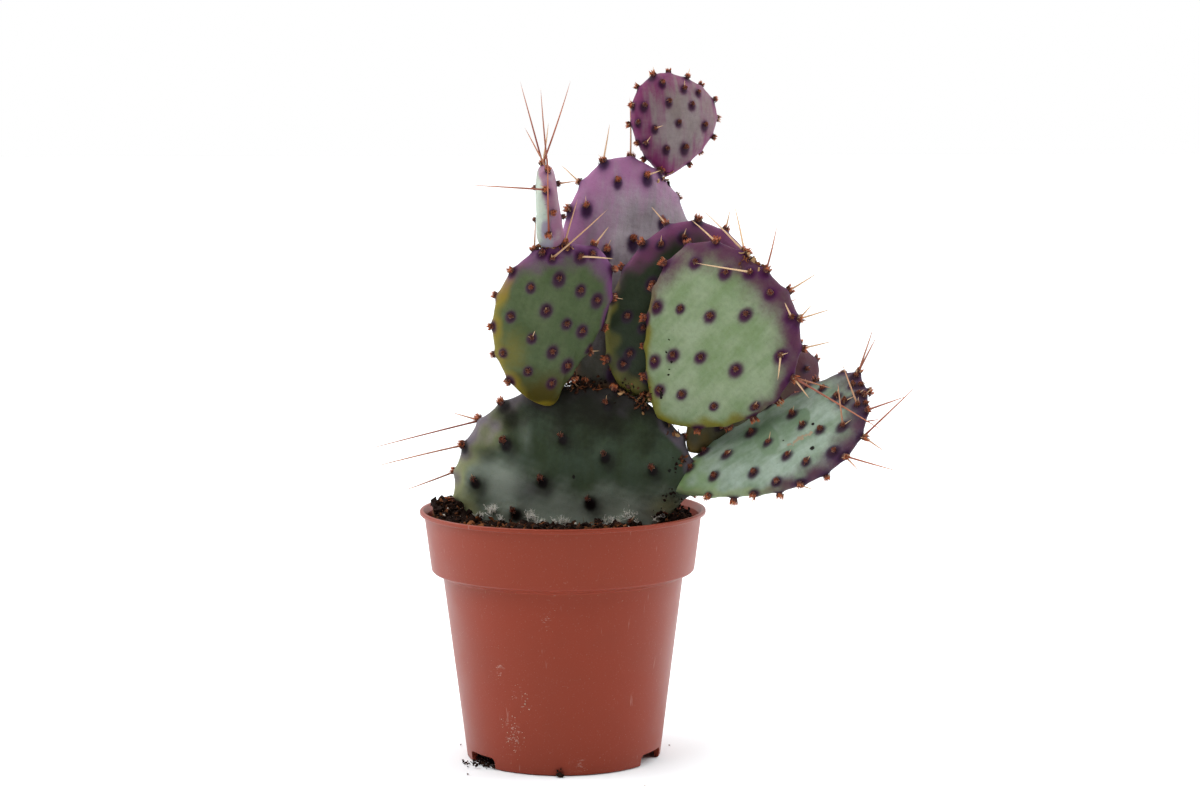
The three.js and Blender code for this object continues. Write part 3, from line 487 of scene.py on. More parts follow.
def bristle_group():
    """Bristles and spines: dark at the root, passing to the tip colour, each with its own tint."""
    tree, given, outlet = new_group("Bristle", ("Root", "Tip", "Pale"), ())
    where = put(tree, "ShaderNodeTexCoord").outputs["Object"]
    along = plus(tree, field(tree, "along"), about(tree, field(tree, "tint"), 0.3))
    color = blend(tree, band(tree, along, 0.05, 0.9), given["Root"], given["Tip"])
    color = blend(tree, band(tree, field(tree, "pale"), 0.0, 1.0), color, given["Pale"])
    grain = noise(tree, where, 2500, 2)
    color = blend(tree, band(tree, grain, 0.3, 0.7, 0.0, 0.3), color, given["Root"], "MULTIPLY")
    give(tree, outlet, color, band(tree, grain, 0.2, 0.8, 0.45, 0.65), grain)
    return tree


def earth_group():
    """Damp peat: two browns mixed in patches, with a coarse and a fine roughness and pale grit."""
    tree, given, outlet = new_group("Earth", ("Dark", "Light"), ("Spots",))
    where = put(tree, "ShaderNodeTexCoord").outputs["Object"]
    patch = noise(tree, where, 260, 5, 0.7)
    grain = noise(tree, where, 1400, 4, 0.7)
    share = plus(tree, times(tree, field(tree, "tint"), 0.8), about(tree, patch, 1.0))
    color = blend(tree, band(tree, share, 0.3, 0.85), given["Dark"], given["Light"])
    spots = times(tree, band(tree, grain, 0.6, 0.7), given["Spots"])
    color = blend(tree, spots, color, linear(GRIT))
    rough = band(tree, patch, 0.3, 0.7, 0.7, 0.95)
    give(tree, outlet, color, rough, plus(tree, patch, grain))
    return tree


def plastic_group():
    """Moulded plastic: a faint cloudiness, dust, fine scratches and pale scuffs where it was
    knocked, and a dark water stain."""
    tree, given, outlet = new_group("WornPlastic", ("Plastic", "Scuff"), ("Dust",))
    where = put(tree, "ShaderNodeTexCoord").outputs["Object"]
    cloud = noise(tree, where, 28, 4, 0.6)
    speckle = noise(tree, where, 1500, 2, 0.7)
    line = noise(tree, where, 420, 3, 0.7, (1, 1, 0.06))
    swirl = noise(tree, where, 700, 4, 0.75, (0.5, 0.5, 1.2))
    haze = band(tree, cloud, 0.3, 0.7, 0.0, 0.22)
    color = blend(tree, haze, given["Plastic"], given["Scuff"], "SOFT_LIGHT")
    dust = times(tree, band(tree, speckle, 0.62, 0.75), given["Dust"])
    scratch = times(tree, band(tree, line, 0.66, 0.76), 0.16)
    scuff = times(tree, band(tree, swirl, 0.56, 0.68), band(tree, field(tree, "scuff"), 0.1, 0.9))
    for share in (dust, scratch, times(tree, scuff, 0.65)):
        color = blend(tree, share, color, given["Scuff"])
    color = blend(tree, band(tree, field(tree, "stain"), 0.2, 0.8, 0.0, 0.75), color, linear(STAIN))
    rough = plus(tree, band(tree, cloud, 0.3, 0.7, 0.36, 0.46), times(tree, scuff, 0.3))
    height = calc(tree, "SUBTRACT", times(tree, speckle, 0.15), plus(tree, scratch, scuff))
    give(tree, outlet, color, rough, height)
    return tree


SKIN, BRISTLE, EARTH, PLASTIC = skin_group(), bristle_group(), earth_group(), plastic_group()


def skin_material(pad):
    """The skin of one pad, in its own colours."""
    look = pad["look"]
    values = dict(zip(LAYERS, look["colours"].split()), Frost=look["frost"], Streaks=look["streaks"])
    return finish_from("skin_" + pad["name"], SKIN, values, 0.00035, Subsurface_Weight=0.12,
                       Subsurface_Radius=(0.004, 0.002, 0.001), Subsurface_Scale=0.6,
                       Specular_IOR_Level=0.16)


def bristle_finish(name, root, tip, pale, bump_depth, **shader):
    """A finish that runs from a root to a tip colour, and has a third one for pale strands."""
    return finish_from(name, BRISTLE, dict(Root=root, Tip=tip, Pale=pale), bump_depth, **shader)


def earth_finish(name, dark, light, spots, bump_depth, **shader):
    """A finish that mixes a dark and a light colour, with spots of grit as strong as spots."""
    return finish_from(name, EARTH, dict(Dark=dark, Light=light, Spots=spots), bump_depth, **shader)


TUFT_FINISH = bristle_finish("tuft", RUST, RUST_TIP, CREAM, 0.00005, Specular_IOR_Level=0.3,
                             Sheen_Weight=0.2)
SPINE_FINISH = bristle_finish("spine", SPINE_RED, SPINE_TAN, CREAM, 0.00003, Specular_IOR_Level=0.45)
FUZZ_FINISH = bristle_finish("fuzz", "#cdc6b2", "#f6f3e8", "#ffffff", 0.00003, Specular_IOR_Level=0.2,
                             Sheen_Weight=0.4)
FLAKE_FINISH = bristle_finish("dried_skin", "#35170b", "#8f522b", "#d2a673", 0.0001,
                              Specular_IOR_Level=0.3)
SOIL_FINISH = earth_finish("soil", PEAT, BARK, 0.5, 0.0006, Specular_IOR_Level=0.1)
CRUMB_FINISH = earth_finish("bark", PEAT, BARK, 0.15, 0.0004, Specular_IOR_Level=0.1)
PERLITE_FINISH = earth_finish("perlite", "#a8a297", PERLITE, 0.0, 0.0003, Specular_IOR_Level=0.3)
MUD_FINISH = earth_finish("mud", "#9a7a68", "#dccbb8", 0.2, 0.0001, Specular_IOR_Level=0.2)
POT_FINISH = finish_from("pot_plastic", PLASTIC, dict(Plastic=TERRACOTTA, Scuff=SCUFF, Dust=0.12),
                         0.00006, Specular_IOR_Level=0.5, Specular_Tint=(1, 0.4, 0.3, 1))

# ------------------------------------------------------------------ pad surface

MIDDLE = 0.55  # the rings of a pad close round this share of its length
GRAIN = 0.9  # distance between the points of the skin
OUTLINE_POINTS = 2881
HEEL_FADE = 0.06  # share of the height over which a heel fades
WAIST_LOW, WAIST_HIGH = 42, 62  # a waist is full below the first and gone above the second
BUMP_TOP, BUMP_DIP, BUMP_START = 0.62, 0.12, 10  # shares of the bump, and where bumps are full


def axes_of(pad):
    """Across, along and out of the pad, and its foot. Along leans right and back, out is the
    viewer's way made square to it and turned about it, and across is square to both."""
    lean, back, turn = (math.radians(pad[key]) for key in ("lean", "back", "turn"))
    along = np.array([math.sin(lean) * math.cos(back), math.sin(back), math.cos(lean) * math.cos(back)])
    facing = unit(np.array([0.0, -1.0, 0.0]) + along * along[1])
    side = np.cross(along, facing)
    out = facing * math.cos(turn) + side * math.sin(turn)
    across = side * math.cos(turn) - facing * math.sin(turn)
    return across, along, out, np.array(pad["foot"], float)


def outline_of(pad):
    """The egg-shaped edge by the length along it: at a share h of the height, the half width goes
    as h**low * (1-h)**high, scaled to its widest. On the right a blunt heel adds
    sqrt(h) * exp(-h / HEEL_FADE), and a waist takes its share off the width. The last two columns
    are the way outwards."""
    turn = np.linspace(0, 2 * np.pi, OUTLINE_POINTS)
    height = np.sin(turn / 2) ** 2
    is_right = turn <= np.pi
    low = np.where(is_right, *pad["low"])
    high = np.where(is_right, *pad["high"])
    widest = (low / (low + high)) ** low * (high / (low + high)) ** high
    half = np.where(is_right, pad["right"], -pad["left"])
    x = half * height**low * np.maximum(0, 1 - height) ** high / widest
    x = x + is_right * pad["heel"] * np.sqrt(height) * np.exp(-height / HEEL_FADE)
    y = pad["length"] * height
    x = x * (1 - is_right * pad["waist"] * (1 - smoothstep(y, WAIST_LOW, WAIST_HIGH)))
    step = np.hypot(np.diff(x), np.diff(y))
    reach = np.concatenate(([0], np.cumsum(step)))
    way = unit(np.stack((np.gradient(y), -np.gradient(x)), -1))
    return reach, np.stack((x, y, way[:, 0], way[:, 1]), -1)


def rim_point(pad, share):
    """Points of the rim at shares of its length, and the way outwards there. At each areole the
    rim rises in a small bump, the cube of a raised cosine."""
    reach, table = pad["outline"]
    wanted = (share % 1.0) * reach[-1]
    x, y, way_x, way_y = (np.interp(wanted, reach, table[:, k]) for k in range(4))
    fade = smoothstep(y, 0, BUMP_START)
    wave = 0.5 - 0.5 * np.cos(2 * np.pi * share * pad["rim"])
    rise = pad["bump"] * (BUMP_TOP * wave**3 - BUMP_DIP) * fade
    return x + way_x * rise, y + way_y * rise, way_x, way_y


def ring_at(pad, x, y):
    """How far out a place lies, as a share of the way from the middle to the rim."""
    _, table = pad["outline"]
    rise = table[:, 1] - MIDDLE * pad["length"]
    angle = np.arctan2(table[:, 0], rise)
    order = np.argsort(angle)
    up = y - MIDDLE * pad["length"]
    edge = np.interp(np.arctan2(x, up), angle[order], np.hypot(table[:, 0], rise)[order], period=2 * np.pi)
    return np.hypot(x, up) / edge


def half_thickness(pad, ring, y):
    """Half the pad's thickness: full in the middle, swollen towards the foot, and falling to
    nothing at the rim as the root of 1 - ring**edge."""
    swollen = 1 + pad["swell"] * (1 - y / pad["length"])
    return pad["thick"] / 2 * swollen * np.sqrt(np.maximum(0, 1 - ring ** pad["edge"]))


def bow_at(pad, y):
    """How far the pad's middle sheet bends out of its plane: a parabola along its length."""
    t = y / pad["length"]
    return pad["bow"] * pad["length"] * 4 * t * (1 - t)


def to_world(pad, x, y, z):
    """Places across, along and out of the pad as places in the scene."""
    across, along, out, foot = pad["axes"]
    return foot + np.multiply.outer(x, across) + np.multiply.outer(y, along) + np.multiply.outer(z, out)


def face_point(pad, x, y, face):
    """Places on the front, where face is 1, or on the back, where it is -1."""
    return to_world(pad, x, y, bow_at(pad, y) + face * half_thickness(pad, ring_at(pad, x, y), y))


# ------------------------------------------------------------------ areoles

FACE_EDGE = 0.88  # the ring within which areoles stand on a face
ROW_REACH, SHAKE, APART = 14, 1.2, 0.8  # rows each way, their unevenness, least share of a step apart
RIM_START, RIM_ZIGZAG, TUFT_TILT = 5, 0.1, 0.35


def row_places(pad, face, seen):
    """Places in skewed rows over a face, mirrored on the back, that keep clear of the seen ones."""
    start, first, second = (np.array(value, float) for value in pad["cell"])
    i, j = (k.ravel() for k in np.meshgrid(*[np.arange(-ROW_REACH, ROW_REACH + 1)] * 2, indexing="ij"))
    seed = 7 * i + 31 * j + 101 * face + pad["foot"][2]
    x = face * (start[0] + i * first[0] + j * second[0]) + SHAKE * (draw(seed) - 0.5)
    y = start[1] + i * first[1] + j * second[1] + SHAKE * (draw(seed + 0.5) - 0.5)
    keep = (y > RIM_START) & (y < pad["length"]) & (ring_at(pad, x, y) < FACE_EDGE)
    for place in seen:
        keep &= np.hypot(x - place[0], y - place[1]) > APART * np.hypot(*first)
    return np.stack((x, y, seed), -1)[keep]


def face_areoles(pad, face):
    """Where the areoles of one face stand, which way their tufts point, and their seeds."""
    seen = np.array([(x, y, 3 * x + 17 * y) for x, y in pad["seen"]] if face > 0 else []).reshape(-1, 3)
    x, y, seed = np.concatenate((seen, row_places(pad, face, seen[:, :2]))).T
    at = face_point(pad, x, y, face)
    sideways = face_point(pad, x + 1, y, face) - at
    upwards = face_point(pad, x, y + 1, face) - at
    way = unit(face * unit(np.cross(sideways, upwards)) + TUFT_TILT * pad["axes"][1])
    place = np.stack((x, y, np.full_like(x, face * pad["thick"] / 2)), -1)
    return at, way, seed, place, np.full(len(x), face)


def rim_areoles(pad):
    """Areoles on the bumps of the rim, a little to one face and the other in turn."""
    k = np.arange(pad["rim"])
    x, y, way_x, way_y = rim_point(pad, (k + 0.5) / pad["rim"])
    keep = y >= RIM_START
    k, x, y, way_x, way_y = (value[keep] for value in (k, x, y, way_x, way_y))
    ring = (1 - (2 * RIM_ZIGZAG) ** 2) ** (1 / pad["edge"])
    face = np.where(k % 2, 1, -1)
    x, y = x * ring, MIDDLE * pad["length"] + (y - MIDDLE * pad["length"]) * ring
    z = bow_at(pad, y) + face * half_thickness(pad, ring, y)
    across, along, out, _ = pad["axes"]
    way = np.outer(way_x, across) + np.outer(way_y, along) + np.outer(2 * RIM_ZIGZAG * face, out)
    seed = 57 * k + pad["foot"][2]
    return to_world(pad, x, y, z), unit(way), seed, np.stack((x, y, z), -1), np.zeros(len(x))


def all_areoles(pad):
    """The areoles of both faces and the rim: where they stand, which way they point, their seeds,
    their places on the pad, and their face, which is 0 on the rim."""
    parts = zip(face_areoles(pad, 1), face_areoles(pad, -1), rim_areoles(pad))
    return [np.concatenate(part) for part in parts]


# ------------------------------------------------------------------ skin


FLUSH_POWER = 1.6
RAGGED = 0.05  # how far the edge of a flush strays, as a share of the ring or the length
HALO_BELL, GLOW_BELL, CAST_BELL = 0.7, 0.16, 0.5  # how steeply halo, glow and the long painted shadow of a tuft fade
CAST_SHIFT, CAST_STRETCH = 2.6, (2.4, 3.6, 3)  # how many trails off the long painted shadow lies, and its squared widths
SPECK_STRETCH = 1.4
EDGE_FOOT = 15  # height up the narrow pad above which the gold of its edge fades


def flush_width(way, at):
    """How far in from the rim a flush reaches, as a share of the ring: at[1] in the way at[0], and
    ever less away from it, as a power of the cosine's rise, down to at[2]."""
    return at[1] * (0.5 + 0.5 * np.cos(way - math.radians(at[0]))) ** FLUSH_POWER + at[2] + 1e-3


def flush(ring, wide, at, uneven):
    """A flush that fades in from the rim over three times the width wide, and weakens where it is
    narrow."""
    inner = ring + RAGGED * uneven
    share = wide / (at[1] + at[2])
    return np.clip((inner - 1 + 3.2 * wide) / (3.3 * wide), 0, 1) * smoothstep(share, 0.2, 0.72)


def areole_shades(pad, points, areoles):
    """Halo and glow: a narrow and a wide bell curve round each areole, moved by its trail. The
    halo takes in a painted shadow of the tuft, a long soft shade farther along the trail."""
    axes = np.stack(pad["axes"][:3], -1)
    reach = (pad["halo_and_shadow"][0], pad["halo_and_shadow"][1], pad["halo_and_shadow"][0])
    halo_and_shadow, glow = np.zeros(len(points)), np.zeros(len(points))
    for at, _, seed in zip(*areoles[:3]):
        size = 0.8 + 0.45 * draw(seed + 9)
        offset, shift = (points - at) @ axes, np.array((*pad["trail"], 0)) * size
        near = (((offset - shift) / reach) ** 2).sum(-1) / size**2
        far = (((offset - CAST_SHIFT * shift) / reach) ** 2 / CAST_STRETCH).sum(-1) / size**2
        halo_and_shadow = np.maximum(halo_and_shadow, np.exp(-HALO_BELL * near))
        glow = np.maximum(glow, np.exp(-GLOW_BELL * near))
        # painted shadow of the tuft: a long soft shade farther along the trail, as strong as cast
        halo_and_shadow = np.maximum(halo_and_shadow, pad["look"]["cast"] * np.exp(-CAST_BELL * far))
    return halo_and_shadow, glow


def front_marks(marks, points, x, y, front):
    """Specks and scars on the front: bell curves round small places, and bands along lines."""
    speck, scar = np.zeros(len(points)), np.zeros(len(points))
    for (mark_x, mark_y), radius in marks.get("specks", ()):
        reach = np.hypot(x - mark_x, (y - mark_y) / SPECK_STRETCH) / radius
        speck = np.maximum(speck, np.exp(-0.5 * reach**2) * front)
    for first, last, half in marks.get("scars", ()):
        first, step = np.array(first, float), np.subtract(last, first).astype(float)
        t = np.clip(((x - first[0]) * step[0] + (y - first[1]) * step[1]) / (step @ step), 0, 1)
        reach = np.hypot(x - first[0] - t * step[0], y - first[1] - t * step[1])
        reach = reach + 0.6 * ripple(points, 3, 2)
        scar = np.maximum(scar, (1 - smoothstep(reach, half * 0.4, half * 1.3)) * front)
    return speck, scar


def edge_tints(pad, points, y, uneven, blush, gold):
    """Blush and gold of the narrow pad, whose edge is seen: the blush covers all that lies behind
    a slanting line, and the back is golden low down."""
    _, _, out, foot = pad["axes"]
    depth = (points - foot) @ out
    line = 0.12 * (y - EDGE_FOOT) + 1.8 - depth
    blush = np.maximum(blush, (0.8 + 0.1 * uneven) * smoothstep(line, -0.6, 1.6))
    fade = 1 - smoothstep(y, EDGE_FOOT, EDGE_FOOT + 10)
    return blush, np.maximum(gold, 0.6 * smoothstep(-depth, 2.5, 4.5) * fade)


def skin_fields(pad, points, x, y, ring, face, areoles):
    """The values that the skin's material reads, for each point."""
    look, marks, front = pad["look"], MARKS.get(pad["name"], {}), face > 0
    way = np.arctan2(x, y - MIDDLE * pad["length"])
    uneven = ripple(points, 11, 5)
    halo_and_shadow, glow = areole_shades(pad, points, areoles)
    speck, scar = front_marks(marks, points, x, y, front)
    width = flush_width(way, look["blush_at"])
    lobes = glow * smoothstep(ring, 1 - 3.4 * width, 1 - 0.4 * width) * smoothstep(width, 0.05, 0.14)
    blush = np.maximum(flush(ring, width, look["blush_at"], uneven), look["lobes"] * lobes)
    gold = flush(ring, flush_width(way, look["gold_at"]), look["gold_at"], uneven)
    if pad["name"] == "narrow":
        blush, gold = edge_tints(pad, points, y, uneven, blush, gold)
    share = look["foot_share"]
    fields = dict(
        plan=np.stack((x, y, face * 8.0), -1) * 0.1, halo_and_shadow=halo_and_shadow, speck=speck, scar=scar,
        foot=smoothstep(share + RAGGED * uneven - y / pad["length"], 0, share),
        # deep: the real deep purple round the areoles inside the flush, and painted shade round every areole,
        # as strong as shade
        gold=gold, blush=blush, deep=np.maximum(blush * glow**2, look["shade"] * glow),
        wiped=np.zeros(len(points)),
    )
    ragged = 0.14 * ripple(points, 12, 8) + 0.05 * ripple(points, 4, 9)
    for name, (mark_x, mark_y), (half_x, half_y), strength in marks.get("tints", ()):
        reach = np.hypot((x - mark_x) / half_x, (y - mark_y) / half_y) + ragged
        tint = strength * np.clip((1.4 - reach) / 1.1, 0, 1) * front
        fields[name] = np.maximum(fields[name], tint)
    return fields


SKINS = []  # every fourth point of each skin, for what lies on it


def settle(at, reach):
    """Places farther than reach from the skin move onto it, other than those low on the pot."""
    skin = np.concatenate(SKINS)
    near = np.array([skin[np.argmin(((skin - place) ** 2).sum(-1))] for place in at])
    is_loose = (np.linalg.norm(near - at, axis=1) > reach) & (at[:, 2] > SOIL["level"])
    return np.where(is_loose[:, None], near, at)


HUMPS = 0.35  # height of the skin's slight unevenness
RIM_WART, WART_BELL = 0.4, 2.2  # a wart's share of height on the rim, and how steeply it falls


def make_skin(pad, areoles):
    """The pad's surface. Its rings shrink as the sine of the row towards the middle of each face.
    A low wart rises under each areole as a bell curve, and the whole is slightly uneven."""
    reach, _ = pad["outline"]
    columns = int(reach[-1] / GRAIN)
    count = int(0.5 * (pad["length"] + pad["right"] + pad["left"]) / GRAIN)
    v = np.arange(1, count) / count
    ring = np.sin(np.pi * v)[:, None] * np.ones(columns)
    face = np.where(v < 0.5, 1.0, -1.0)[:, None] * np.ones(columns)
    rim_x, rim_y, way_x, way_y = rim_point(pad, np.arange(columns) / columns)
    middle = MIDDLE * pad["length"]
    x = rim_x * ring
    y = middle + (rim_y - middle) * ring
    z = bow_at(pad, y) + face * half_thickness(pad, ring, y)
    across, along, out, _ = pad["axes"]
    outward = np.multiply.outer(way_x, across) + np.multiply.outer(way_y, along)
    level = face * np.sqrt(1 - np.minimum(ring, 1) ** 6)
    normal = unit(outward[None] * (ring**6)[..., None] + out * level[..., None])
    pole, bow = half_thickness(pad, 0.0, middle), bow_at(pad, middle)
    x, y, z, ring, face = (np.append(value.ravel(), ends) for value, ends in (
        (x, (0, 0)), (y, (middle, middle)), (z, (bow + pole, bow - pole)), (ring, (0, 0)), (face, (1, -1))))
    normal = np.concatenate((normal.reshape(-1, 3), [out, -out]))
    points = to_world(pad, x, y, z)
    height, spread = pad["wart"]
    lift = np.zeros(len(points))
    for at, on_face in zip(areoles[0], areoles[4]):
        apart = ((points - at) ** 2).sum(-1)
        rise = height if on_face else RIM_WART * height
        lift = np.maximum(lift, rise * np.exp(-apart / (2 * (spread / WART_BELL) ** 2)))
    inside = 1 - ring**8
    lift += HUMPS * ripple(points, 24, 3) * inside - HUMPS
    if pad["name"] == "base":
        lift += base_dents(x, y) * (face > 0) * inside
    fields = skin_fields(pad, points, x, y, ring, face, areoles)
    lift += HUMPS * fields["scar"]
    points = points + normal * lift[:, None]
    SKINS.append(points[::4])
    rows = points[:-2].reshape(count - 1, columns, 3)
    points, faces = closed_rows(rows, points[-2], points[-1])
    make_piece("skin_" + pad["name"], points, faces, skin_material(pad),
               ["pad_" + pad["name"]], fields)


def base_dents(x, y):
    """Sunken folds and a ridge beside the foot of the left pad, on the upper left of the base pad:
    bell curves, one of them slanting."""
    def bell(mid_x, mid_y, wide, tall, slant=0):
        return np.exp(-(((x - mid_x - slant * (y - mid_y)) / wide) ** 2 + ((y - mid_y) / tall) ** 2))

    return (1.1 * bell(-22, 80, 3.5, 9) - 2.4 * bell(-29, 84, 5, 8) - 1.4 * bell(-38, 70, 7, 5)
            - 0.8 * bell(-40, 78, 2.5, 9, 0.5))


# ------------------------------------------------------------------ tufts and spines


def side_ways(way):
    """Two directions square to each way and to each other."""
    helper = np.where(np.abs(way[:, 2:]) < 0.9, [[0.0, 0.0, 1.0]], [[1.0, 0.0, 0.0]])
    first = unit(np.cross(way, helper))
    return first, np.cross(way, first)


def spikes(at, way, length, width, rng):
    """Thin three-sided spikes: a triangle at the root and one tip each, as points and faces."""
    first, second = side_ways(way)
    turn = rng.uniform(0, 2 * np.pi, (len(at), 1)) + np.array([0, 2, 4]) * np.pi / 3
    corner = first[:, None] * np.cos(turn)[..., None] + second[:, None] * np.sin(turn)[..., None]
    base = at[:, None] + corner * width[:, None, None]
    tip = at + way * length[:, None]
    points = np.concatenate((base, tip[:, None]), 1).reshape(-1, 3)
    shape = np.array([[0, 1, 3], [1, 2, 3], [2, 0, 3], [2, 1, 0]])
    return points, copies(shape, len(at), 4)


def dome_shape():
    """A low dome of rings of six points, as points of a unit ball and faces."""
    angle = np.arange(6) * np.pi / 3
    rows = [np.stack((np.cos(angle + k * 0.5) * r, np.sin(angle + k * 0.5) * r, np.full(6, h)), -1)
            for k, (r, h) in enumerate(((0.7, -0.7), (1.0, 0.0), (0.75, 0.6)))]
    return closed_rows(np.array(rows), (0, 0, -1), (0, 0, 1))


def join(parts):
    """Puts bodies, given as points, face blocks and fields, together as one."""
    points, faces, fields, start = [], {}, {}, 0
    for part_points, part_faces, part_fields in parts:
        points.append(part_points)
        for block in part_faces:
            faces.setdefault(block.shape[1], []).append(block + start)
        for key, values in part_fields.items():
            fields.setdefault(key, []).append(values)
        start += len(part_points)
    return (np.concatenate(points), [np.concatenate(blocks) for blocks in faces.values()],
            {key: np.concatenate(values) for key, values in fields.items()})


BUNCHES, BUNCH_BRISTLES = 9, 10
DOME_WIDE, DOME_HIGH = 0.8, 0.5  # the felt dome, as shares of the tuft's radius and length
ROOT_RING, RIM_SPLAY, FACE_SPLAY = 0.52, 0.85, 0.55  # the ring's share at the roots and the tips


def make_tufts(pad, areoles):
    """At each areole a dark felt dome, and round and on it bunches of barbed bristles, whose tips
    draw together like those of a wet brush. The first bunch stands in the middle and the others
    lean out in a ring."""
    rng = np.random.default_rng(int(pad["foot"][2] * 10))
    at, way, seed = areoles[:3]
    radius, length = pad["tuft"]
    on_rim = areoles[4] == 0
    size = (0.85 + 0.3 * draw(seed + 2)) * np.where(on_rim, pad["rim_size"], 1)
    # tufts on the faces are darker than those on the rim, partly their own colour and partly painted shade
    # for the shaded gaps of a tuft seen end on
    shine = np.where(on_rim, 1.0, pad["face_shine"])
    first, second = side_ways(way)

    shape, shape_faces = dome_shape()
    lift = (shape[:, 2] + 0.15) * size[:, None] * length * DOME_HIGH
    flat = first[:, None] * shape[None, :, :1] + second[:, None] * shape[None, :, 1:2]
    dome = at[:, None] + way[:, None] * lift[..., None] + flat * (radius * DOME_WIDE * size)[:, None, None]
    count = len(shape)
    dome_faces = [copies(block, len(at), count) for block in shape_faces]
    dome_fields = dict(along=np.outer(shine, 0.35 + 0.2 * shape[:, 2]).ravel(),
                       tint=np.repeat(draw(seed + 4), count), pale=np.zeros(len(at) * count))

    bunch = (len(at), BUNCHES)
    angle = 2 * np.pi * (np.arange(BUNCHES) / (BUNCHES - 1) + rng.uniform(-0.06, 0.06, bunch))
    ring = np.where(np.arange(BUNCHES) == 0, 0.0, 1.0) * radius * size[:, None]
    sideways = first[:, None] * np.cos(angle)[..., None] + second[:, None] * np.sin(angle)[..., None]
    root = at[:, None] + sideways * (ROOT_RING * ring)[..., None]
    reach = length * size[:, None] * rng.uniform(0.62, 0.95, bunch)
    splay = np.where(on_rim, RIM_SPLAY, FACE_SPLAY)[:, None] * ring * rng.uniform(0.7, 1.2, bunch)
    tip = at[:, None] + way[:, None] * reach[..., None] + sideways * splay[..., None]
    each = (*bunch, BUNCH_BRISTLES, 3)
    start = (root[:, :, None] + rng.normal(0, 0.26 * radius, each)).reshape(-1, 3)
    end = (tip[:, :, None] + rng.normal(0, 0.1 * length, each)).reshape(-1, 3)
    total = len(start)
    points, faces = spikes(start, unit(end - start), np.linalg.norm(end - start, axis=1),
                           rng.uniform(0.15, 0.26, total) * pad["bristle_width"], rng)
    tint = np.repeat(rng.uniform(0, 1, bunch).ravel(), BUNCH_BRISTLES) * 0.6 + rng.uniform(0, 0.4, total)
    is_pale = rng.uniform(0, 1, total) < 0.05
    lit = np.repeat(shine, BUNCHES * BUNCH_BRISTLES)
    fields = dict(along=np.outer(lit, [-0.25, -0.25, -0.25, 1.0]).ravel(), tint=np.repeat(tint, 4),
                  pale=np.repeat(is_pale * lit * 0.7, 4))
    points, faces, fields = join([(dome.reshape(-1, 3), dome_faces, dome_fields), (points, [faces], fields)])
    make_piece("tufts_" + pad["name"], points, faces, TUFT_FINISH, (), fields, False)


SPINE_SIDES, SPINE_STEPS = 6, 8
SPINE_RADIUS, SHORT_RADIUS = 0.42, 0.22
HIDDEN_SHARE = 0.4  # share of the areoles high on the back that have a spine


def needles(at, way, length, pale, radius, rng):
    """Slightly curved spines: rings along a parabola that bends off the way by a few hundredths
    of the length, shrinking as 1 - t**2 to a point, with a sunk root and a small foot."""
    first, second = side_ways(way)
    t = np.linspace(0, 1, SPINE_STEPS + 1)
    bend = rng.normal(0, 0.025, (len(at), 2)) * length[:, None]
    line = (at[:, None] + way[:, None] * (length[:, None] * t - 1.0 * (t == 0))[..., None]
            + (first * bend[:, :1] + second * bend[:, 1:])[:, None] * (t**2)[None, :, None])
    foot = 1 + 0.5 * np.exp(-((t * length[:, None]) / 1.2) ** 2)
    thick = radius[:, None] * (0.15 + 0.85 * (1 - t**2)) * foot
    angle = np.arange(SPINE_SIDES) * 2 * np.pi / SPINE_SIDES
    around = first[:, None] * np.cos(angle)[None, :, None] + second[:, None] * np.sin(angle)[None, :, None]
    rings = line[:, :-1, None] + around[:, None] * thick[:, :-1, None, None]
    count = SPINE_STEPS * SPINE_SIDES
    points = np.concatenate((rings.reshape(len(at), count, 3), at[:, None] - way[:, None], line[:, -1:]), 1)
    ends = np.arange(SPINE_SIDES)
    blocks = [grid_faces(SPINE_STEPS, SPINE_SIDES), cap_faces(ends, count, False),
              cap_faces(ends + count - SPINE_SIDES, count + 1, True)]
    faces = [copies(block, len(at), count + 2) for block in blocks]
    along = np.concatenate((np.repeat(t[:-1], SPINE_SIDES), [0, 1]))
    fields = dict(along=np.tile(along, len(at)), tint=np.repeat(draw(length * 7.3), count + 2),
                  pale=np.repeat(pale, count + 2))
    return points.reshape(-1, 3), faces, fields


def spine_list(pad, areoles):
    """Starts, directions, lengths, paleness and radii of the pad's spines: the seen ones, some
    drawn at random on the back, and short bent bristles at some areoles of the front and rim."""
    at, way, seed, place, face = areoles
    rows = []
    for spot, angle, towards, length, pale in SPINES.get(pad["name"], ()):
        start = at[np.argmin(np.linalg.norm(place - np.array(spot), axis=1))]
        turn, tilt = math.radians(angle), math.radians(towards)
        heading = (math.sin(turn) * math.cos(tilt), -math.sin(tilt), math.cos(turn) * math.cos(tilt))
        rows.append((*start, *heading, length, pale, SPINE_RADIUS))
    stray = np.stack([draw(seed + k) for k in (5, 6, 7)], -1) - 0.5
    strayed = unit(way + 0.8 * stray + 0.5 * pad["axes"][1])
    is_hidden = (face == -1) & (place[:, 1] > pad["length"] / 2) & (draw(seed + 3) <= HIDDEN_SHARE)
    for k in np.flatnonzero(is_hidden):
        rows.append((*at[k], *strayed[k], 6 + 16 * draw(seed[k] + 4) ** 2, draw(seed[k] + 8), SPINE_RADIUS))
    is_short = (face >= 0) & (draw(seed + 11) < pad["short_share"])
    for k in np.flatnonzero(is_short):
        heading = unit(strayed[k] + 0.5 * stray[k])
        rows.append((*at[k], *heading, 2.6 + 2.6 * draw(seed[k] + 12), 0.9, SHORT_RADIUS))
    return np.array(rows)


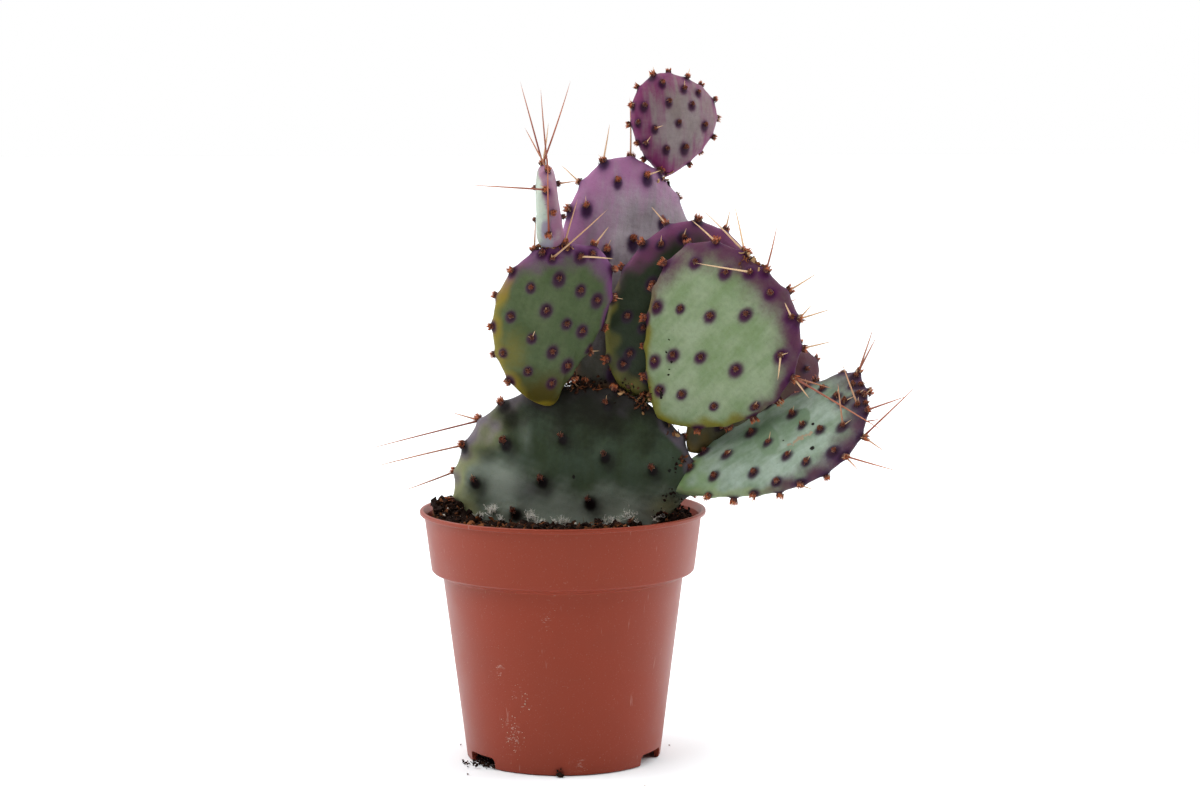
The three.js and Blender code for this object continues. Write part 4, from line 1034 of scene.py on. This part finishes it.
def make_spines(pad, areoles):
    """All spines of one pad as one piece."""
    rng = np.random.default_rng(int(pad["foot"][2] * 10) + 1)
    rows = spine_list(pad, areoles)
    points, faces, fields = needles(rows[:, :3], unit(rows[:, 3:6]), rows[:, 6], rows[:, 7], rows[:, 8], rng)
    make_piece("spines_" + pad["name"], points, faces, SPINE_FINISH, (), fields)


# ------------------------------------------------------------------ soil


def soil_height(x, y):
    """The level of the soil: a bell-shaped heap at the left, a dip with a bell-shaped mound in it
    at the right, and low waves all over."""
    def bell(name):
        (mid_x, mid_y), spread = SOIL[name + "_at"], SOIL[name + "_spread"]
        return SOIL[name + "_height"] * np.exp(-((x - mid_x) ** 2 + (y - mid_y) ** 2) / (2 * spread**2))

    dip = SOIL["dip"] * smoothstep(x, SOIL["dip_from"], SOIL["dip_to"])
    return SOIL["level"] + bell("heap") + bell("mound") - dip + 0.6 * np.sin(x / 5.1 + 1) * np.cos(y / 4.3)


def make_soil():
    """A plug that fills the pot: rings of its lumpy top, from the edge in, above its plain sides."""
    columns, count = 220, 60
    angle = np.arange(columns) * 2 * np.pi / columns
    wall = POT["wall"] + 0.6  # the soil keeps clear of the pot's wall
    side = [(POT["middle_radius"] - wall, 1.6), (POT["middle_radius"] - 0.4, 5.6), (39.8, 5.6),
            (POT["step_radius"] - wall, 78.7), (POT["collar_low_radius"] - wall, 81)]
    radius = SOIL["edge_radius"] * (1 - np.arange(count) / count) ** 0.9
    x, y = (np.multiply.outer(radius, f(angle)) for f in (np.cos, np.sin))
    flat = np.stack((x, y, np.zeros_like(x)), -1)
    lumps = 0.55 * ripple(flat, 4.5, 11) + 0.4 * ripple(flat, 2.1, 12) + 0.5 * ripple(flat, 11, 13)
    top = np.stack((x, y, soil_height(x, y) - 0.5 + lumps), -1)
    sides = [np.stack((r * np.cos(angle), r * np.sin(angle), np.full(columns, z)), -1) for r, z in side]
    points, faces = closed_rows(np.concatenate((sides, top)), (0, 0, side[0][1]), (0, 0, SOIL["level"]))
    tint = 0.35 + 0.3 * ripple(points, 6, 4)
    make_piece("soil_ground", points, faces, SOIL_FINISH, ["soil"], dict(tint=tint))


def lump_shape():
    """The twelve corners and twenty faces of an icosahedron: the corners are the even turns of
    (0, 1, golden ratio), and three of them that lie close together make a face."""
    golden = (1 + 5**0.5) / 2
    corners = [(0, a, b * golden) for a in (-1, 1) for b in (-1, 1)]
    turned = [(a, b, 0) for _, a, b in corners] + [(b, 0, a) for _, a, b in corners]
    points = unit(np.array(corners + turned))
    near = np.linalg.norm(points[:, None] - points[None], axis=-1) < 1.1
    faces = [(i, j, k) for i in range(12) for j in range(i) for k in range(j)
             if near[i, j] and near[j, k] and near[i, k]]
    is_outward = [np.linalg.det(points[list(face)]) > 0 for face in faces]
    return points, np.array([face if good else face[::-1] for face, good in zip(faces, is_outward)])


def lumps(at, size, flatness, unevenness, rng):
    """Angular lumps: icosahedra with shaken corners, squeezed and turned at random."""
    shape, shape_faces = lump_shape()
    corners = shape[None] * rng.uniform(1 - unevenness, 1 + unevenness * 0.5, (len(at), 12, 1))
    corners = corners * rng.uniform(flatness, 1, (len(at), 1, 3)) * size[:, None, None]
    points = np.einsum("nij,nkj->nki", random_turns(len(at), rng), corners) + at[:, None]
    return points.reshape(-1, 3), copies(shape_faces, len(at), len(shape))


def scatter(count, spread, rng):
    """Random places on the soil, spread evenly over its disc short of its edge by spread: the
    radius goes as the root of the draw."""
    radius = (SOIL["edge_radius"] - spread) * np.sqrt(rng.uniform(0, 1, count))
    angle = rng.uniform(0, 2 * np.pi, count)
    return radius * np.cos(angle), radius * np.sin(angle)


def gathered(rows, share, rng):
    """Random places round spots, from rows of a spot, a spread and how many. share makes the
    spreads smaller."""
    return np.concatenate([rng.normal(spot, np.array(spread) * share, (count, 3))
                           for spot, spread, count, *_ in rows])


CRUMBS = dict(spread=1500, heap=260, ridge=420, mound=220, fibres=480, perlite=70)
# Crumbs that fell on the floor or cling to the pot: places, sizes and how brown they are.
STRAYS = [
    (-2, -42.4, 1, 2.1, 0), (-3, -41.9, 2.3, 1, 0), (-0.8, -42.4, 0.5, 1, 0), (-1.7, -41.7, 3, 0.6, 0),
    (-35, -19.6, 0.8, 1.3, 0), (-31, -20, 1, 1.8, 0), (-29, -28, 0.8, 1.3, 0.3), (-34, -15, 1.4, 1.6, 0),
    (-44.1, 13.1, 0.4, 0.9, 0.5), (-39.7, -37.6, 0.3, 0.7, 0.6), (31.9, -58.3, 0.25, 0.5, 0.9),
    (45.3, 10, 0.25, 0.5, 0.9),
]


def crumb_places(rng):
    """Places and sizes of the crumbs on the soil: spread evenly, gathered on the heap at the left,
    and in a ridge that piles up towards the front left of the edge."""
    x, y = scatter(CRUMBS["spread"], 1.5, rng)
    heap_x = rng.normal(SOIL["heap_at"][0], 5, CRUMBS["heap"])
    heap_y = rng.normal(SOIL["heap_at"][1] - 4, 10, CRUMBS["heap"])
    keep = np.hypot(heap_x, heap_y) < SOIL["edge_radius"] - 0.5
    turn = np.radians(rng.uniform(-75, -12, CRUMBS["ridge"]))
    reach = SOIL["edge_radius"] - rng.uniform(1.5, 26, CRUMBS["ridge"])
    ridge_x, ridge_y = reach * np.sin(turn), -reach * np.cos(turn)
    pile = rng.uniform(0, 1, CRUMBS["ridge"]) * 3.2 * smoothstep(-ridge_y, 14, 26)
    piled = np.append(np.zeros(len(x) + keep.sum()), pile)
    x = np.concatenate((x, heap_x[keep], ridge_x))
    y = np.concatenate((y, heap_y[keep], ridge_y))
    size = 0.45 + 2.3 * rng.uniform(0, 1, len(x)) ** 3.5
    return np.stack((x, y, soil_height(x, y) - 0.2 + 0.35 * size + piled), -1), size


def caught_places(rng):
    """Places of the crumbs caught in the joints between pads, of those under the pot's left notch, which
    partly stand for the shade inside it, and of those on the small mound.
    """
    caught = settle(gathered(CAUGHT, 0.6, rng), 2.2)
    mound = np.array(SOIL["mound_at"]) + rng.normal(0, 5.5, (CRUMBS["mound"], 2))
    mound = np.column_stack((mound, soil_height(*mound.T) + rng.uniform(0, 2.2, CRUMBS["mound"])))
    is_inside = np.hypot(mound[:, 0], mound[:, 1]) < SOIL["edge_radius"] - 1
    return np.concatenate((caught, mound[is_inside]))


def make_crumbs():
    """Crumbs of peat and bark with fibres between them, and grains of perlite."""
    rng = np.random.default_rng(21)
    at, size = crumb_places(rng)
    caught = caught_places(rng)
    at = np.concatenate((at, caught))
    size = np.append(size, 0.4 + 0.9 * rng.uniform(0, 1, len(caught)) ** 2)
    tint = rng.uniform(0, 1, len(at)) ** 1.9
    tint[-len(caught):] *= 0.55
    strays = np.array(STRAYS)
    at, size = np.concatenate((at, strays[:, :3])), np.append(size, strays[:, 3])
    points, faces = lumps(at, size, 0.32, 0.55, rng)
    tint = np.repeat(np.append(tint, strays[:, 4]), 12)
    points[:, 2] = np.maximum(points[:, 2], 0.02)  # nothing goes through the floor
    count = CRUMBS["fibres"]
    fibre_x, fibre_y = scatter(count, 3, rng)
    root = np.stack((fibre_x, fibre_y, soil_height(fibre_x, fibre_y) + 0.4), -1)
    way = unit(rng.normal(0, 1, (count, 3)) * [1, 1, 0.35] + [0, 0, 0.15])
    fibres, fibre_faces = spikes(root, way, rng.uniform(1.5, 4.5, count), rng.uniform(0.1, 0.2, count), rng)
    fibre_fields = dict(tint=np.repeat(rng.uniform(0.5, 1.3, count), 4))
    points, faces, fields = join([(points, [faces], dict(tint=tint)), (fibres, [fibre_faces], fibre_fields)])
    make_piece("soil_crumbs", points, faces, CRUMB_FINISH, (), fields, False)

    x, y = scatter(CRUMBS["perlite"], 2, rng)
    size = 0.45 + 0.9 * rng.uniform(0, 1, len(x)) ** 2
    points, faces = lumps(np.stack((x, y, soil_height(x, y) + 0.45 * size), -1), size, 0.7, 0.2, rng)
    tint = np.repeat(rng.uniform(0.5, 1, len(x)), 12)
    make_piece("perlite", points, [faces], PERLITE_FINISH, (), dict(tint=tint))


# Mineral fuzz along the soil line of the base pad: places on its face, and their sizes.
FUZZ = [
    (-43.5, 43.3, 1.6), (-40.5, 44.2, 2), (-37, 45.6, 3.2), (-35, 46.5, 2.6), (-32, 43, 1.8),
    (-20.5, 44.6, 2.6), (-18.6, 44.6, 3.2), (-17, 42.8, 2.2), (-14.5, 42.3, 1.8), (-9.5, 42.4, 2.2),
    (-6.5, 43.2, 2.8), (-4.5, 42.6, 2), (9, 42.8, 2), (11.5, 43.2, 2.6), (14.6, 43.6, 2.8),
    (17.5, 43.4, 1.8), (20.5, 46.4, 3.2), (22.8, 45.8, 2.8), (25, 44, 2), (32.5, 45.2, 1.8),
    (35, 46.2, 2),
]
FUZZ_STEMS, FUZZ_TWIGS = 22, 110
FUZZ_SCALE = 1.35


def make_fuzz(pad):
    """White frosty tufts on both faces of the base pad. From each place stems spread at random
    over the half space outwards and upwards, and short twigs branch off along the stems."""
    rng = np.random.default_rng(5)
    spots = np.array(FUZZ)
    at, out = [], []
    for face in (1, -1):
        at.append(face_point(pad, spots[:, 0] * face, spots[:, 1], face))
        out.append(np.tile(face * pad["axes"][2], (len(spots), 1)))
    at, out, size = np.concatenate(at), np.concatenate(out), np.tile(FUZZ_SCALE * spots[:, 2], 2)

    stem = np.repeat(np.arange(len(at)), FUZZ_STEMS)
    root = at[stem] + rng.normal(0, 0.16, (len(stem), 3)) * size[stem, None]
    way = unit(out[stem] * 0.45 + np.array([0, 0, 0.75]) + rng.normal(0, 0.55, (len(stem), 3)))
    long = size[stem] * rng.uniform(0.5, 1, len(stem))
    stems = spikes(root - way * 0.3, way, long + 0.3, rng.uniform(0.09, 0.14, len(stem)), rng)

    twig = rng.integers(0, len(stem), len(at) * FUZZ_TWIGS)
    start = root[twig] + way[twig] * (long[twig] * rng.uniform(0.1, 0.9, len(twig)))[:, None]
    aside = unit(way[twig] * 0.6 + rng.normal(0, 0.6, (len(twig), 3)))
    short = long[twig] * rng.uniform(0.2, 0.42, len(twig))
    twigs = spikes(start, aside, short, rng.uniform(0.06, 0.11, len(twig)), rng)
    parts = []
    for points, faces in (stems, twigs):
        count = len(points) // 4
        tint = np.repeat(rng.uniform(0, 1, count), 4)
        along = np.tile([0.3, 0.3, 0.3, 1.0], count)
        parts.append((points, [faces], dict(along=along, tint=tint, pale=tint)))
    points, faces, fields = join(parts)
    make_piece("mineral_fuzz", points, faces, FUZZ_FINISH, (), fields, False)


# Dried bits round the joints between pads: a place, the spread round it, how many and how large.
DRIED = [
    ((5, 1, 156), (6, 3, 2.5), 16, 1), ((12, 1, 156), (7, 4, 3), 18, 1), ((27, 0, 153), (6, 3, 5), 20, 1),
    ((34, -3, 149), (3, 3, 6), 20, 1), ((50, -2, 124), (1.5, 2, 2.5), 14, 1),
    ((42, -5, 102), (3, 2, 1.5), 8, 1), ((43, 38, 241), (4, 3, 2), 12, 1),
    ((-4, -12, 214.5), (7, 3.5, 1.5), 44, 1), ((47, -3, 137), (3, 3, 3), 10, 1),
    ((77.5, -18, 209), (5, 2, 3.5), 30, 1), ((8, -4, 157), (2, 1, 2), 3, 1.5),
    ((33, -7, 151), (2, 1, 4), 4, 1.4),
]
# Dark peat and old scales caught in the same joints, and in the last row dark crumbs under the
# pot's left notch: partly spilled soil and partly a dark stand-in for the shade inside the notch.
CAUGHT = [
    ((5, 4, 157), (5, 2, 2), 90), ((3.6, 3, 158.8), (2.5, 1.5, 1.6), 70),
    ((6.6, 3, 156), (2.5, 1.5, 1.6), 70), ((12, 3, 156), (6, 3, 2.5), 80),
    ((26, 2, 153), (5, 3, 3.5), 70), ((33, -1, 149), (3, 3, 4), 40), ((48, -3, 122), (2.5, 3, 5), 30),
    ((46, -5, 111), (3, 3, 4), 30), ((41, -4, 102), (5, 3, 2), 40), ((-3, -8, 214), (4, 3, 1), 30),
    ((44, 39, 241), (4, 2, 1.5), 16), ((-32, -21, 0.9), (6, 6, 0.7), 120),
]


LEAST_CURL = 0.2  # a strip that is bent less than this is spaced as if bent this much


def strip_faces():
    """Faces of a strip of two layers of three by five points: both layers, and the sides between
    them round the edge."""
    cell = np.array([(k * 3 + j, k * 3 + j + 1, k * 3 + j + 4, k * 3 + j + 3)
                     for k in range(4) for j in range(2)])
    edge = [0, 1, 2, 5, 8, 11, 14, 13, 12, 9, 6, 3]
    side = np.array([(a, b, b + 15, a + 15) for a, b in zip(edge, edge[1:] + edge[:1])])
    return np.concatenate((cell[:, ::-1], cell + 15, side))


def make_dried_bits():
    """Papery scraps of dried skin and bristle: small curled strips, each a grid of three by five
    points bent along an arc, given a thickness by a second layer."""
    rng = np.random.default_rng(9)
    at = settle(gathered(DRIED, 0.5, rng), 0.8)
    total = len(at)
    scale = np.concatenate([np.full(count, large) for _, _, count, large in DRIED])
    long = (scale * rng.uniform(1.2, 4.2, total))[:, None, None]
    wide = rng.uniform(0.35, 1.0, total)[:, None, None]
    curl = rng.uniform(-2.8, 2.8, total)[:, None, None]
    u = np.linspace(-1, 1, 5)[None, :, None]
    w = np.linspace(-1, 1, 3)[None, None, :]
    bend, bent = curl * u / 2, np.maximum(np.abs(curl), LEAST_CURL)
    x = long * np.sin(bend) / bent + 0 * w
    z = long * (1 - np.cos(bend)) / bent + 0.15 * w**2
    y = wide * w * (1 - 0.5 * u**2)
    sheet = np.stack(np.broadcast_arrays(x, y, z), -1).reshape(total, 15, 3)
    layers = np.concatenate((sheet, sheet + [0, 0, 0.12]), 1)
    points = np.einsum("nij,nkj->nki", random_turns(total, rng), layers) + at[:, None]
    fields = dict(along=np.repeat(rng.uniform(0, 1, total), 30), tint=np.repeat(rng.uniform(0, 1, total), 30),
                  pale=np.repeat(rng.uniform(0, 1, total) ** 6, 30))
    make_piece("dried_bits", points.reshape(-1, 3), [copies(strip_faces(), total, 30)], FLAKE_FINISH,
               (), fields)


# ------------------------------------------------------------------ pot


ROUND_POINTS, ROUND_SHARE = 6, 0.45  # points of an arc, and the most of a side that it takes


def rounded(corners):
    """A closed profile whose corners (radius, height, rounding) become short arcs, each a parabola
    between two points on its sides with the corner as its control point."""
    points = np.array([(r, z) for r, z, _ in corners], float)
    result = []
    for k, (_, _, rounding) in enumerate(corners):
        here, before, after = points[k], points[k - 1], points[(k + 1) % len(points)]
        if rounding == 0:
            result.append(here)
            continue
        back, ahead = unit(before - here), unit(after - here)
        half = 0.5 * math.acos(float(np.clip(back @ ahead, -1, 1)))
        shorter = min(np.linalg.norm(before - here), np.linalg.norm(after - here))
        cut = min(rounding / math.tan(half), ROUND_SHARE * shorter)
        first, last = here + back * cut, here + ahead * cut
        for t in np.linspace(0, 1, ROUND_POINTS):
            result.append((1 - t) ** 2 * first + 2 * t * (1 - t) * here + t**2 * last)
    return np.array(result)


def pot_profile():
    """The section of half the pot: out along the underside of the floor, round the foot, up the
    outside, over the lip and down the inside to the floor."""
    wall, height, lip, lip_low = POT["wall"], POT["height"], POT["lip_radius"], POT["lip_low"]
    foot, middle, step = POT["foot_radius"], POT["middle_radius"], POT["step_radius"]
    floor_low, step_height, collar_low = POT["floor_low"], POT["step_height"], POT["collar_low"]
    collar, collar_top = POT["collar_low_radius"], POT["collar_top_radius"]
    floor_top, inner_foot = floor_low + wall, foot - POT["foot_width"]
    low_wall = foot + (step - foot) * floor_top / step_height - wall
    return rounded([
        (middle, 0, 0.4), (middle + wall, floor_low, 0.5), (inner_foot - 1, floor_low, 0.4),
        (inner_foot, 0, 0.3), (foot, 0, 1.6), (step, step_height, 1.0),
        (collar - 0.6, collar_low - 0.6, 0.5), (collar, collar_low, 0.6),
        (collar_top, lip_low - 0.4, 0.5), (lip - 0.1, lip_low - 0.1, 0.5), (lip, height, 0.7),
        (lip - wall * 1.3, height, 0.5), (collar_top - wall, lip_low - 0.8, 1.0),
        (collar - wall, collar_low + wall, 0.8), (step - wall, step_height + wall, 0.8),
        (low_wall, floor_top, 0.8), (middle, floor_top, 0.4), (middle - wall, wall, 0.4),
    ])


def split_long(profile, longest):
    """Adds points to a profile so that no stretch of it is longer than longest."""
    result = [profile[0]]
    for here, after in zip(profile, profile[1:]):
        count = max(1, math.ceil(np.linalg.norm(after - here) / longest))
        result.extend(here + (after - here) * k / count for k in range(1, count + 1))
    return np.array(result)


def cutter(points, faces):
    """A closed body that only cuts and isn't kept."""
    mesh = bpy.data.meshes.new("cutter")
    mesh.from_pydata((points * MM).tolist(), [], faces)
    return add_object("cutter", mesh)


def prism(outline, start, step):
    """A body with the outline at start and again one step on, as points and faces."""
    count = len(outline)
    points = np.concatenate((start + outline, start + step + outline))
    sides = [(k, (k + 1) % count, (k + 1) % count + count, k + count) for k in range(count)]
    faces = [tuple(range(count))[::-1], tuple(range(count, 2 * count)), *sides]
    return points, faces


def notch_cutter(azimuth):
    """A block with two rounded upper corners, through the foot at the azimuth."""
    half, corner, height = NOTCH["width"] / 2, NOTCH["corner"], NOTCH["height"]
    arc = np.linspace(0, np.pi / 2, 7)
    right = np.stack((half - corner + corner * np.cos(arc), height - corner + corner * np.sin(arc)), -1)
    left = np.stack((-right[::-1, 0], right[::-1, 1]), -1)
    flat = np.concatenate(([(-half, -1), (half, -1)], right, left))
    turn = math.radians(azimuth)
    side, out = np.array([math.cos(turn), math.sin(turn), 0]), np.array([math.sin(turn), -math.cos(turn), 0])
    outline = np.outer(flat[:, 0], side) + np.outer(flat[:, 1], [0, 0, 1])
    return prism(outline, out * (POT["foot_radius"] - NOTCH["inset"]), out * NOTCH["depth"])


def drain_cutter(azimuth):
    """A many-sided bar upwards through the floor at the azimuth."""
    angle = np.arange(DRAIN["sides"]) * 2 * np.pi / DRAIN["sides"]
    outline = np.stack((np.cos(angle), np.sin(angle), 0 * angle), -1) * DRAIN["radius"]
    turn = math.radians(azimuth)
    centre = np.array([math.sin(turn), -math.cos(turn), 0]) * DRAIN["ring"]
    return prism(outline, centre + [0, 0, DRAIN["low"]], np.array([0, 0, DRAIN["depth"]]))


POT_COLUMNS, POT_STRETCH = 288, 5  # points round the pot, and the longest stretch of its profile
# Scuffs and the stain at the foot: angles round the pot from the viewer, heights and spreads.
SCUFFS = ((-21, 30, 2.5, 3), (-30, 16, 5, 7), (-25, 35, 3, 3), (-35, 43, 3, 4), (-6, 75, 4, 2),
          (-9, 65, 3, 3), (9, 3, 3, 3))
STAIN_SPOT = (-2.8, 0, 2.6, 2.6)


def wall_spot(azimuth, height, spot):
    """A bell curve round a spot on the pot's wall."""
    angle, level, wide, tall = spot
    return np.exp(-(((azimuth - angle) / wide) ** 2 + ((height - level) / tall) ** 2))


def make_pot():
    """The pot: a rounded profile carried once round the axis, with notches cut out of the foot
    and drain holes out of the floor."""
    radius, height = split_long(pot_profile(), POT_STRETCH).T
    angle = np.arange(POT_COLUMNS) * 2 * np.pi / POT_COLUMNS
    rows = np.stack([np.multiply.outer(part, around) for part, around in (
        (radius, np.cos(angle)), (radius, np.sin(angle)), (height, np.ones(POT_COLUMNS)))], -1)
    points, faces = closed_rows(rows, (0, 0, 0), (0, 0, POT["wall"]))
    azimuth = np.degrees(np.arctan2(points[:, 0], -points[:, 1]))
    scuff = np.max([wall_spot(azimuth, points[:, 2], spot) for spot in SCUFFS], 0)
    stain = wall_spot(azimuth, points[:, 2], STAIN_SPOT)
    pot = make_piece("pot_shell", points, faces, POT_FINISH, ["pot"],
                     dict(scuff=scuff, stain=stain))
    tools = [notch_cutter(NOTCH["first"] + 360 * k / NOTCH["count"]) for k in range(NOTCH["count"])]
    tools += [drain_cutter(360 * (k + 0.5) / DRAIN["count"]) for k in range(DRAIN["count"])]
    for tool in tools:
        body, cut = cutter(*tool), pot.modifiers.new("cut", "BOOLEAN")
        cut.operation, cut.solver, cut.object = "DIFFERENCE", "EXACT", body
        with bpy.context.temp_override(object=pot, active_object=pot):
            bpy.ops.object.modifier_apply(modifier=cut.name)
        bpy.data.objects.remove(body)
    pot.data.set_sharp_from_angle(angle=math.radians(38))


# Dried mud on the pot: angles round it in degrees from the viewer, heights, their spreads, how
# many specks and their largest size.
MUD = [
    (-30, 16, 4, 6, 60, 0.34), (-21, 30, 1.5, 3, 10, 0.4), (-25, 35, 3, 3, 10, 0.22),
    (-36, 44, 4, 7, 18, 0.2), (-10, 64, 4, 4, 8, 0.2), (-48, 60, 8, 14, 14, 0.18),
    (5, 50, 22, 30, 16, 0.16), (10, 3, 5, 2, 8, 0.2),
]
MUD_BLOB = (-21.2, 30.2, 0.62)  # angle, height and size of the largest one


def make_mud():
    """Flat specks of dried mud on the slanted wall, at random round a few places."""
    rng = np.random.default_rng(33)
    rows = []
    for angle, height, wide, tall, count, largest in MUD:
        turn = np.radians(rng.normal(angle, wide, count))
        z = np.clip(rng.normal(height, tall, count), 1, POT["step_height"] - 1)
        rows.append(np.stack((turn, z, largest * rng.uniform(0.35, 1, count)), -1))
    rows.append([(math.radians(MUD_BLOB[0]), *MUD_BLOB[1:])])
    turn, z, size = np.concatenate(rows).T
    radius = POT["foot_radius"] + (POT["step_radius"] - POT["foot_radius"]) * z / POT["step_height"]
    at = np.stack((radius * np.sin(turn), -radius * np.cos(turn), z), -1)
    points, faces = lumps(np.zeros_like(at), size, 0.5, 0.4, rng)
    out = np.repeat(np.stack((np.sin(turn), -np.cos(turn), 0 * z), -1), 12, axis=0)
    points -= 0.75 * out * np.einsum("ij,ij->i", points, out)[:, None]
    points += np.repeat(at, 12, axis=0)
    tint = np.repeat(rng.uniform(0, 1, len(at)), 12)
    make_piece("dried_mud", points, [faces], MUD_FINISH, (), dict(tint=tint))


# ------------------------------------------------------------------ floor, light and camera

CAMERA = dict(place=(-10.26, -1069.86, 260.34), down=5.888, right=1.389, roll=0.145, lens=77.19)
FLOOR_HALF, FLOOR_LEVEL = 30.0, -0.0002  # in metres
FLOOR_GLOW = 0.25  # the floor looks this much brighter than it lights the object
# Soft boxes that all point at one place: names, places and sides in metres, and power.
LIT_PLACE = (0, 0, 0.15)
LIGHTS = (
    ("left_box", (-1.1, 0.1, 0.8), (0.7, 1.0), 6.5), ("right_box", (1.1, 0.2, 0.7), (0.7, 1.0), 7.5),
    ("key_box", (-0.75, -0.75, 1.35), (0.8, 0.8), 6),
)


def make_floor():
    """A wide sheet of pale paper, over-exposed to the white of the background away from the pot."""
    mesh = bpy.data.meshes.new("floor")
    corners = [(x * FLOOR_HALF, y * FLOOR_HALF, FLOOR_LEVEL) for x, y in ((-1, -1), (1, -1), (1, 1), (-1, 1))]
    mesh.from_pydata(corners, [], [(0, 1, 2, 3)])
    material, tree = empty_material("floor_paper")
    seen = put(tree, "ShaderNodeLightPath").outputs["Is Camera Ray"]
    where = put(tree, "ShaderNodeTexCoord").outputs["Object"]
    apart = put(tree, "ShaderNodeVectorMath", dict(operation="LENGTH"), n0=where).outputs["Value"]
    glow = band(tree, apart, 0.04, 0.15, 0.0, FLOOR_GLOW)
    surface = put(tree, "ShaderNodeBsdfPrincipled", Base_Color=(0.89, 0.93, 0.95, 1), Roughness=0.9,
                  Specular_IOR_Level=0.1, Emission_Color=(1, 1, 1, 1),
                  Emission_Strength=times(tree, seen, glow))
    put(tree, "ShaderNodeOutputMaterial", Surface=surface.outputs[0])
    mesh.materials.append(material)
    add_object("floor", mesh)


def make_world():
    """A white studio that is bright at the sides, behind and above, and dimmer at the front."""
    world = bpy.data.worlds.new("studio")
    bpy.context.scene.world = world
    world.use_nodes = True
    tree = world.node_tree
    tree.nodes.clear()
    way = put(tree, "ShaderNodeTexCoord").outputs["Generated"]
    split = put(tree, "ShaderNodeSeparateXYZ", Vector=way).outputs
    behind = band(tree, split["Y"], -0.8, 0.2, 0.04, 1.0)
    strength = plus(tree, behind, band(tree, split["Z"], 0.45, 0.95, 0.0, 1.05))
    light = put(tree, "ShaderNodeBackground", Strength=strength)
    paper = put(tree, "ShaderNodeBackground", Strength=1.0)
    for shade in (light, paper):
        shade.inputs["Color"].default_value = (1, 1, 1, 1)
    seen = put(tree, "ShaderNodeLightPath").outputs["Is Camera Ray"]
    mixed = put(tree, "ShaderNodeMixShader", n0=seen, n1=light.outputs[0], n2=paper.outputs[0])
    put(tree, "ShaderNodeOutputWorld", Surface=mixed.outputs[0])


def make_light(name, place, size, power):
    """A soft box that points at the lit place."""
    lamp = bpy.data.lights.new(name, "AREA")
    lamp.shape, lamp.size, lamp.size_y, lamp.energy = "RECTANGLE", *size, power
    body = add_object(name, lamp)
    body.location = place
    body.rotation_euler = (Vector(LIT_PLACE) - Vector(place)).to_track_quat("-Z", "Y").to_euler()


def make_camera():
    """The photograph's viewpoint: turned right, tipped down and rolled by small angles."""
    down, right, roll = (math.radians(CAMERA[key]) for key in ("down", "right", "roll"))
    level = Vector((math.sin(right), math.cos(right), 0))
    side = Vector((math.cos(right), -math.sin(right), 0))
    up = Vector((0, 0, 1))
    ahead = level * math.cos(down) - up * math.sin(down)
    upright = up * math.cos(down) + level * math.sin(down)
    axis_x = side * math.cos(roll) - upright * math.sin(roll)
    axis_y = side * math.sin(roll) + upright * math.cos(roll)
    camera = add_object("camera", bpy.data.cameras.new("camera"))
    camera.data.lens, camera.data.sensor_width = CAMERA["lens"], 36
    turn = Matrix((axis_x, axis_y, -ahead)).transposed().to_4x4()
    camera.matrix_world = Matrix.Translation(Vector(CAMERA["place"]) * MM) @ turn
    bpy.context.scene.camera = camera


# ------------------------------------------------------------------ build

for pad in PADS:
    pad["look"] = {**PLAIN_LOOK, **LOOKS[pad["name"]]}
    pad["axes"] = axes_of(pad)
    pad["outline"] = outline_of(pad)
    places = all_areoles(pad)
    make_skin(pad, places)
    make_tufts(pad, places)
    make_spines(pad, places)
make_pot()
make_mud()
make_soil()
make_crumbs()
make_fuzz(PADS[0])
make_dried_bits()

make_floor()
make_world()
for light in LIGHTS:
    make_light(*light)
make_camera()
bpy.context.scene.view_settings.view_transform = "Standard"
